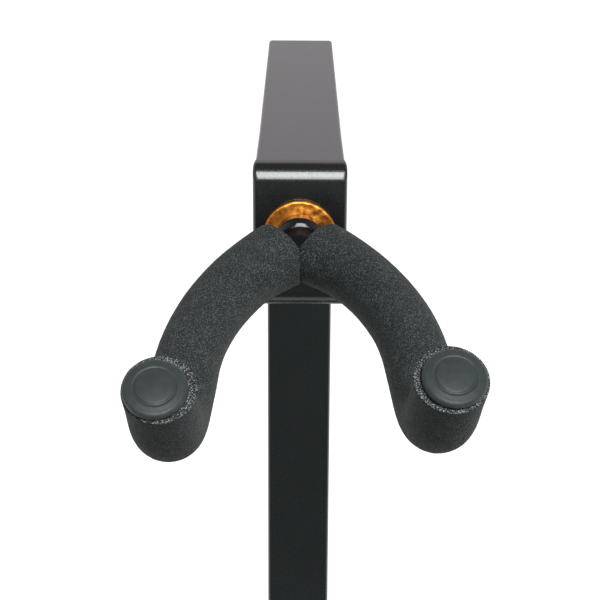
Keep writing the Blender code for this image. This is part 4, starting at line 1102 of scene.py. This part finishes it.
def make_knob(plastic):
    """Lobed grip with rounded rims, a hub towards the mast and a dished back."""
    low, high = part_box("clamp_knob")
    front = low.y - LOWER_TUBE_BACK
    back = high.y - LOWER_TUBE_BACK
    grip = front + KNOB_HUB_LENGTH
    bore = KNOB_BORE_RADIUS
    bore_end = front + KNOB_BORE_DEPTH
    hub = KNOB_HUB_RADIUS
    dish = KNOB_DISH_RADIUS
    dish_floor = back - KNOB_DISH_DEPTH
    small = KNOB_SMALL_EDGE
    before = [(KNOB_AXIS_HOLE, bore_end), (bore, bore_end), (bore, front)]
    before += [(hub - KNOB_HUB_EDGE, front), (hub, front + KNOB_HUB_EDGE)]
    before += [(hub, grip - KNOB_HUB_EDGE), (hub + KNOB_FILLET_START, grip - small)]
    before += [(hub + KNOB_FILLET_END, grip)]
    behind = [(dish + 2 * small, back), (dish, back - small)]
    behind += [(dish - KNOB_DISH_DEPTH, dish_floor), (KNOB_AXIS_HOLE, dish_floor)]
    segments = 160
    place = clamp_axis()
    loops = [ring_points(place, radius, height, segments) for radius, height in before]
    for inset, height in rounded_rims(grip, back, KNOB_EDGE, 8):
        loop = []
        for angle in full_turn(segments):
            lobes = KNOB_LOBE_DEPTH * (1 - math.cos(KNOB_LOBES * angle)) / 2
            loop.append(turned_point(place, KNOB_RADIUS - lobes - inset, angle, height))
        loops.append(loop)
    loops += [ring_points(place, radius, height, segments) for radius, height in behind]
    verts, faces = bridge(loops, capped=True)
    piece = new_piece(
        "knob", verts, faces, [plastic], "clamp_grip", ("clamp_knob",)
    )
    keep_flats(piece, 50.0)


# Studio

def make_camera():
    """Camera where the photograph was taken from."""
    level = math.cos(CAMERA_PITCH)
    fall = -math.sin(CAMERA_PITCH)
    forward = Vector((math.sin(CAMERA_YAW) * level, math.cos(CAMERA_YAW) * level, fall))
    right = Vector((math.cos(CAMERA_YAW), -math.sin(CAMERA_YAW), 0.0))
    up = right.cross(forward)
    rolled_right = math.cos(CAMERA_ROLL) * right + math.sin(CAMERA_ROLL) * up
    rolled_up = math.cos(CAMERA_ROLL) * up - math.sin(CAMERA_ROLL) * right
    turn = Matrix((rolled_right, rolled_up, -forward)).transposed().to_4x4()
    data = bpy.data.cameras.new("camera")
    data.lens = CAMERA_LENS
    data.sensor_width = 36.0
    data.clip_start = 0.02
    data.clip_end = 100.0
    camera = new_object("camera", data)
    camera.matrix_world = Matrix.Translation(CAMERA_PLACE) @ turn
    bpy.context.scene.camera = camera


def make_floor():
    """Pale floor, white to the camera apart from the object's shadow, with a sheen for gloss."""
    reach = FLOOR_REACH
    front = FLOOR_FRONT
    corners = [(-reach, front, 0.0), (reach, front, 0.0), (reach, reach, 0.0), (-reach, reach, 0.0)]
    mesh = bpy.data.meshes.new("floor")
    mesh.from_pydata(corners, [], [(0, 1, 2, 3)])
    floor = new_object("floor", mesh)
    material, shader = material_base("floor_look", (0.66, 0.66, 0.66), 0.9)
    set_inputs(shader, {"Specular IOR Level": 0.0, "Emission Color": (1.0, 1.0, 1.0, 1.0)})
    tree = material.node_tree
    rays = tree.nodes.new("ShaderNodeLightPath")
    seen = maths_node(
        material, rays.outputs["Is Camera Ray"], rays.outputs["Is Transmission Ray"], "MAXIMUM"
    )
    spot = tree.nodes.new("ShaderNodeTexCoord")
    parts = tree.nodes.new("ShaderNodeSeparateXYZ")
    tree.links.new(spot.outputs["Object"], parts.inputs["Vector"])
    away = tree.nodes.new("ShaderNodeVectorMath")
    away.operation = "LENGTH"
    tree.links.new(spot.outputs["Object"], away.inputs["Vector"])
    far = away.outputs["Value"]
    pale = range_node(material, far, *FLOOR_GLOW_RANGE, FLOOR_GLOW_NEAR, FLOOR_GLOW_FAR)
    glow = maths_node(material, seen, pale, "MULTIPLY")
    aside = maths_node(material, parts.outputs["X"], 0.0, "ABSOLUTE")
    beside = range_node(material, aside, *FLOOR_SIDES_RANGE, 0.0, FLOOR_SIDES)
    bright = maths_node(material, beside, FLOOR_SHEEN)
    sheen = maths_node(material, rays.outputs["Is Glossy Ray"], bright, "MULTIPLY")
    glow = maths_node(material, glow, sheen)
    tree.links.new(glow, shader.inputs["Emission Strength"])
    mesh.materials.append(material)


def make_world():
    """White to the camera. To the object it is a plain room, pale behind and at the sides."""
    world = bpy.data.worlds.new("studio")
    bpy.context.scene.world = world
    world.use_nodes = True
    tree = world.node_tree
    background = tree.nodes["Background"]
    spot = tree.nodes.new("ShaderNodeTexCoord")
    parts = tree.nodes.new("ShaderNodeSeparateXYZ")
    tree.links.new(spot.outputs["Generated"], parts.inputs["Vector"])
    y = parts.outputs["Y"]
    behind = range_node(world, y, *ROOM_BEHIND_RANGE, 0.0, ROOM_BEHIND - ROOM_FRONT)
    lift = range_node(world, parts.outputs["Z"], *ROOM_LIFT_RANGE, 1.0, ROOM_LIFT)
    behind = maths_node(world, maths_node(world, behind, lift, "MULTIPLY"), ROOM_FRONT)
    near, far = ROOM_SIDE_RANGE
    left = range_node(world, parts.outputs["X"], -near, -far, 0.0, ROOM_LEFT)
    right = range_node(world, parts.outputs["X"], near, far, 0.0, ROOM_RIGHT)
    room = maths_node(world, behind, maths_node(world, left, right))
    rays = tree.nodes.new("ShaderNodeLightPath")
    plain = range_node(world, rays.outputs["Is Diffuse Ray"], 0.0, 1.0, 1.0, ROOM_PLAIN)
    room = maths_node(world, room, plain, "MULTIPLY")
    shown = maths_node(world, room, rays.outputs["Is Camera Ray"], "MAXIMUM")
    seen = range_node(world, rays.outputs["Is Camera Ray"], 0.0, 1.0, ROOM_LIMIT, 1.0)
    tree.links.new(maths_node(world, shown, seen, "MINIMUM"), background.inputs["Strength"])
    depth = range_node(world, y, -1.0, 1.0)
    tint = ramp_node(world, depth, [(0.45, (0.88, 1.0, 0.99)), (0.80, (1.0, 0.955, 0.99))])
    mix = tree.nodes.new("ShaderNodeMix")
    mix.data_type = "RGBA"
    set_inputs(mix, {"B": (1.0, 1.0, 1.0, 1.0)})
    tree.links.new(rays.outputs["Is Camera Ray"], mix.inputs["Factor"])
    tree.links.new(tint, mix.inputs["A"])
    tree.links.new(mix.outputs["Result"], background.inputs["Color"])


def area_light(name, away, size, power, colour=(1.0, 1.0, 1.0)):
    """Rectangular light, a distance away from the arm's end and aimed at it."""
    target = Vector((0.0, CAP_FACE, ARM_MIDDLE))
    place = target + away
    data = bpy.data.lights.new(name, "AREA")
    data.shape = "RECTANGLE"
    data.size, data.size_y = size
    data.energy = power
    data.color = colour
    light = new_object(name, data)
    turn = (target - place).to_track_quat("-Z", "Y").to_matrix().to_4x4()
    light.matrix_world = Matrix.Translation(place) @ turn
    light.visible_camera = False
    return light


def make_lights():
    """Gloss from a tall soft box in front with a dim strip below it, and a diffuse key light."""
    soft_box = area_light("soft_box", SOFT_BOX_PLACE, SOFT_BOX_SIZE, SOFT_BOX_POWER)
    soft_box.visible_diffuse = False
    fade = area_light("fade", FADE_PLACE, FADE_SIZE, FADE_POWER)
    fade.visible_diffuse = False
    key = area_light("key", KEY_PLACE, KEY_SIZE, KEY_POWER, KEY_COLOUR)
    key.visible_glossy = False


powder = powder_coat_material()
gloss = black_steel_material("gloss_black_look", 0.10, 0.22, 0.5)
satin = black_steel_material("satin_black_look", 0.42, 0.56, 0.05)
gold = gold_material()
foam_skin = foam_material(
    "foam_look", (0.0145, 0.0166, 0.0166), (0.185, 0.200, 0.200), scale=2600.0, relief=0.00025
)
foam_cut = foam_material(
    "cut_foam_look", (0.004, 0.0045, 0.0045), (0.60, 0.60, 0.61), scale=2500.0, relief=0.00034
)
rubber = rubber_material()
zinc = metal_material("zinc_look", (0.60, 0.61, 0.62), 0.28, (1.0, 1.0, 1.0))
steel = metal_material("steel_look", (0.42, 0.42, 0.42), 0.36, (1.0, 0.1, 1.0))
black_plastic = plastic_material("black_plastic_look", (0.014, 0.014, 0.015), 0.48)
pale_plastic = plastic_material("pale_plastic_look", (0.62, 0.60, 0.54), 0.45)

LOOKS = {
    "powder_coat": powder,
    "black_steel": gloss,
    "bare_steel": steel,
    "zinc_steel": zinc,
    "gold_metal": gold,
    "black_nylon": black_plastic,
    "natural_nylon": pale_plastic,
    "rubber": rubber,
    "foam": foam_skin,
}
for subpart in frame["record"]["subparts"]:
    node = frame["nodes"][subpart["node"]]
    for held in node.material_slots:
        held.material = LOOKS[subpart["material_slot"]]

make_upper_frame(powder)
make_foam(-1, "left", foam_skin, foam_cut)
make_foam(1, "right", foam_skin, foam_cut)
make_yoke_rod(gloss)
make_tip_cap(-1, "left", rubber)
make_tip_cap(1, "right", rubber)
make_washer(gold)
make_stem(satin)
make_collar(gloss)
make_base_plate(powder)
make_feet(rubber)
make_lower_tube(powder)
make_weld(powder)
make_clamp_screw(zinc)
make_knob(black_plastic)

make_camera()
make_floor()
make_world()
make_lights()
bpy.context.scene.view_settings.view_transform = "Standard"
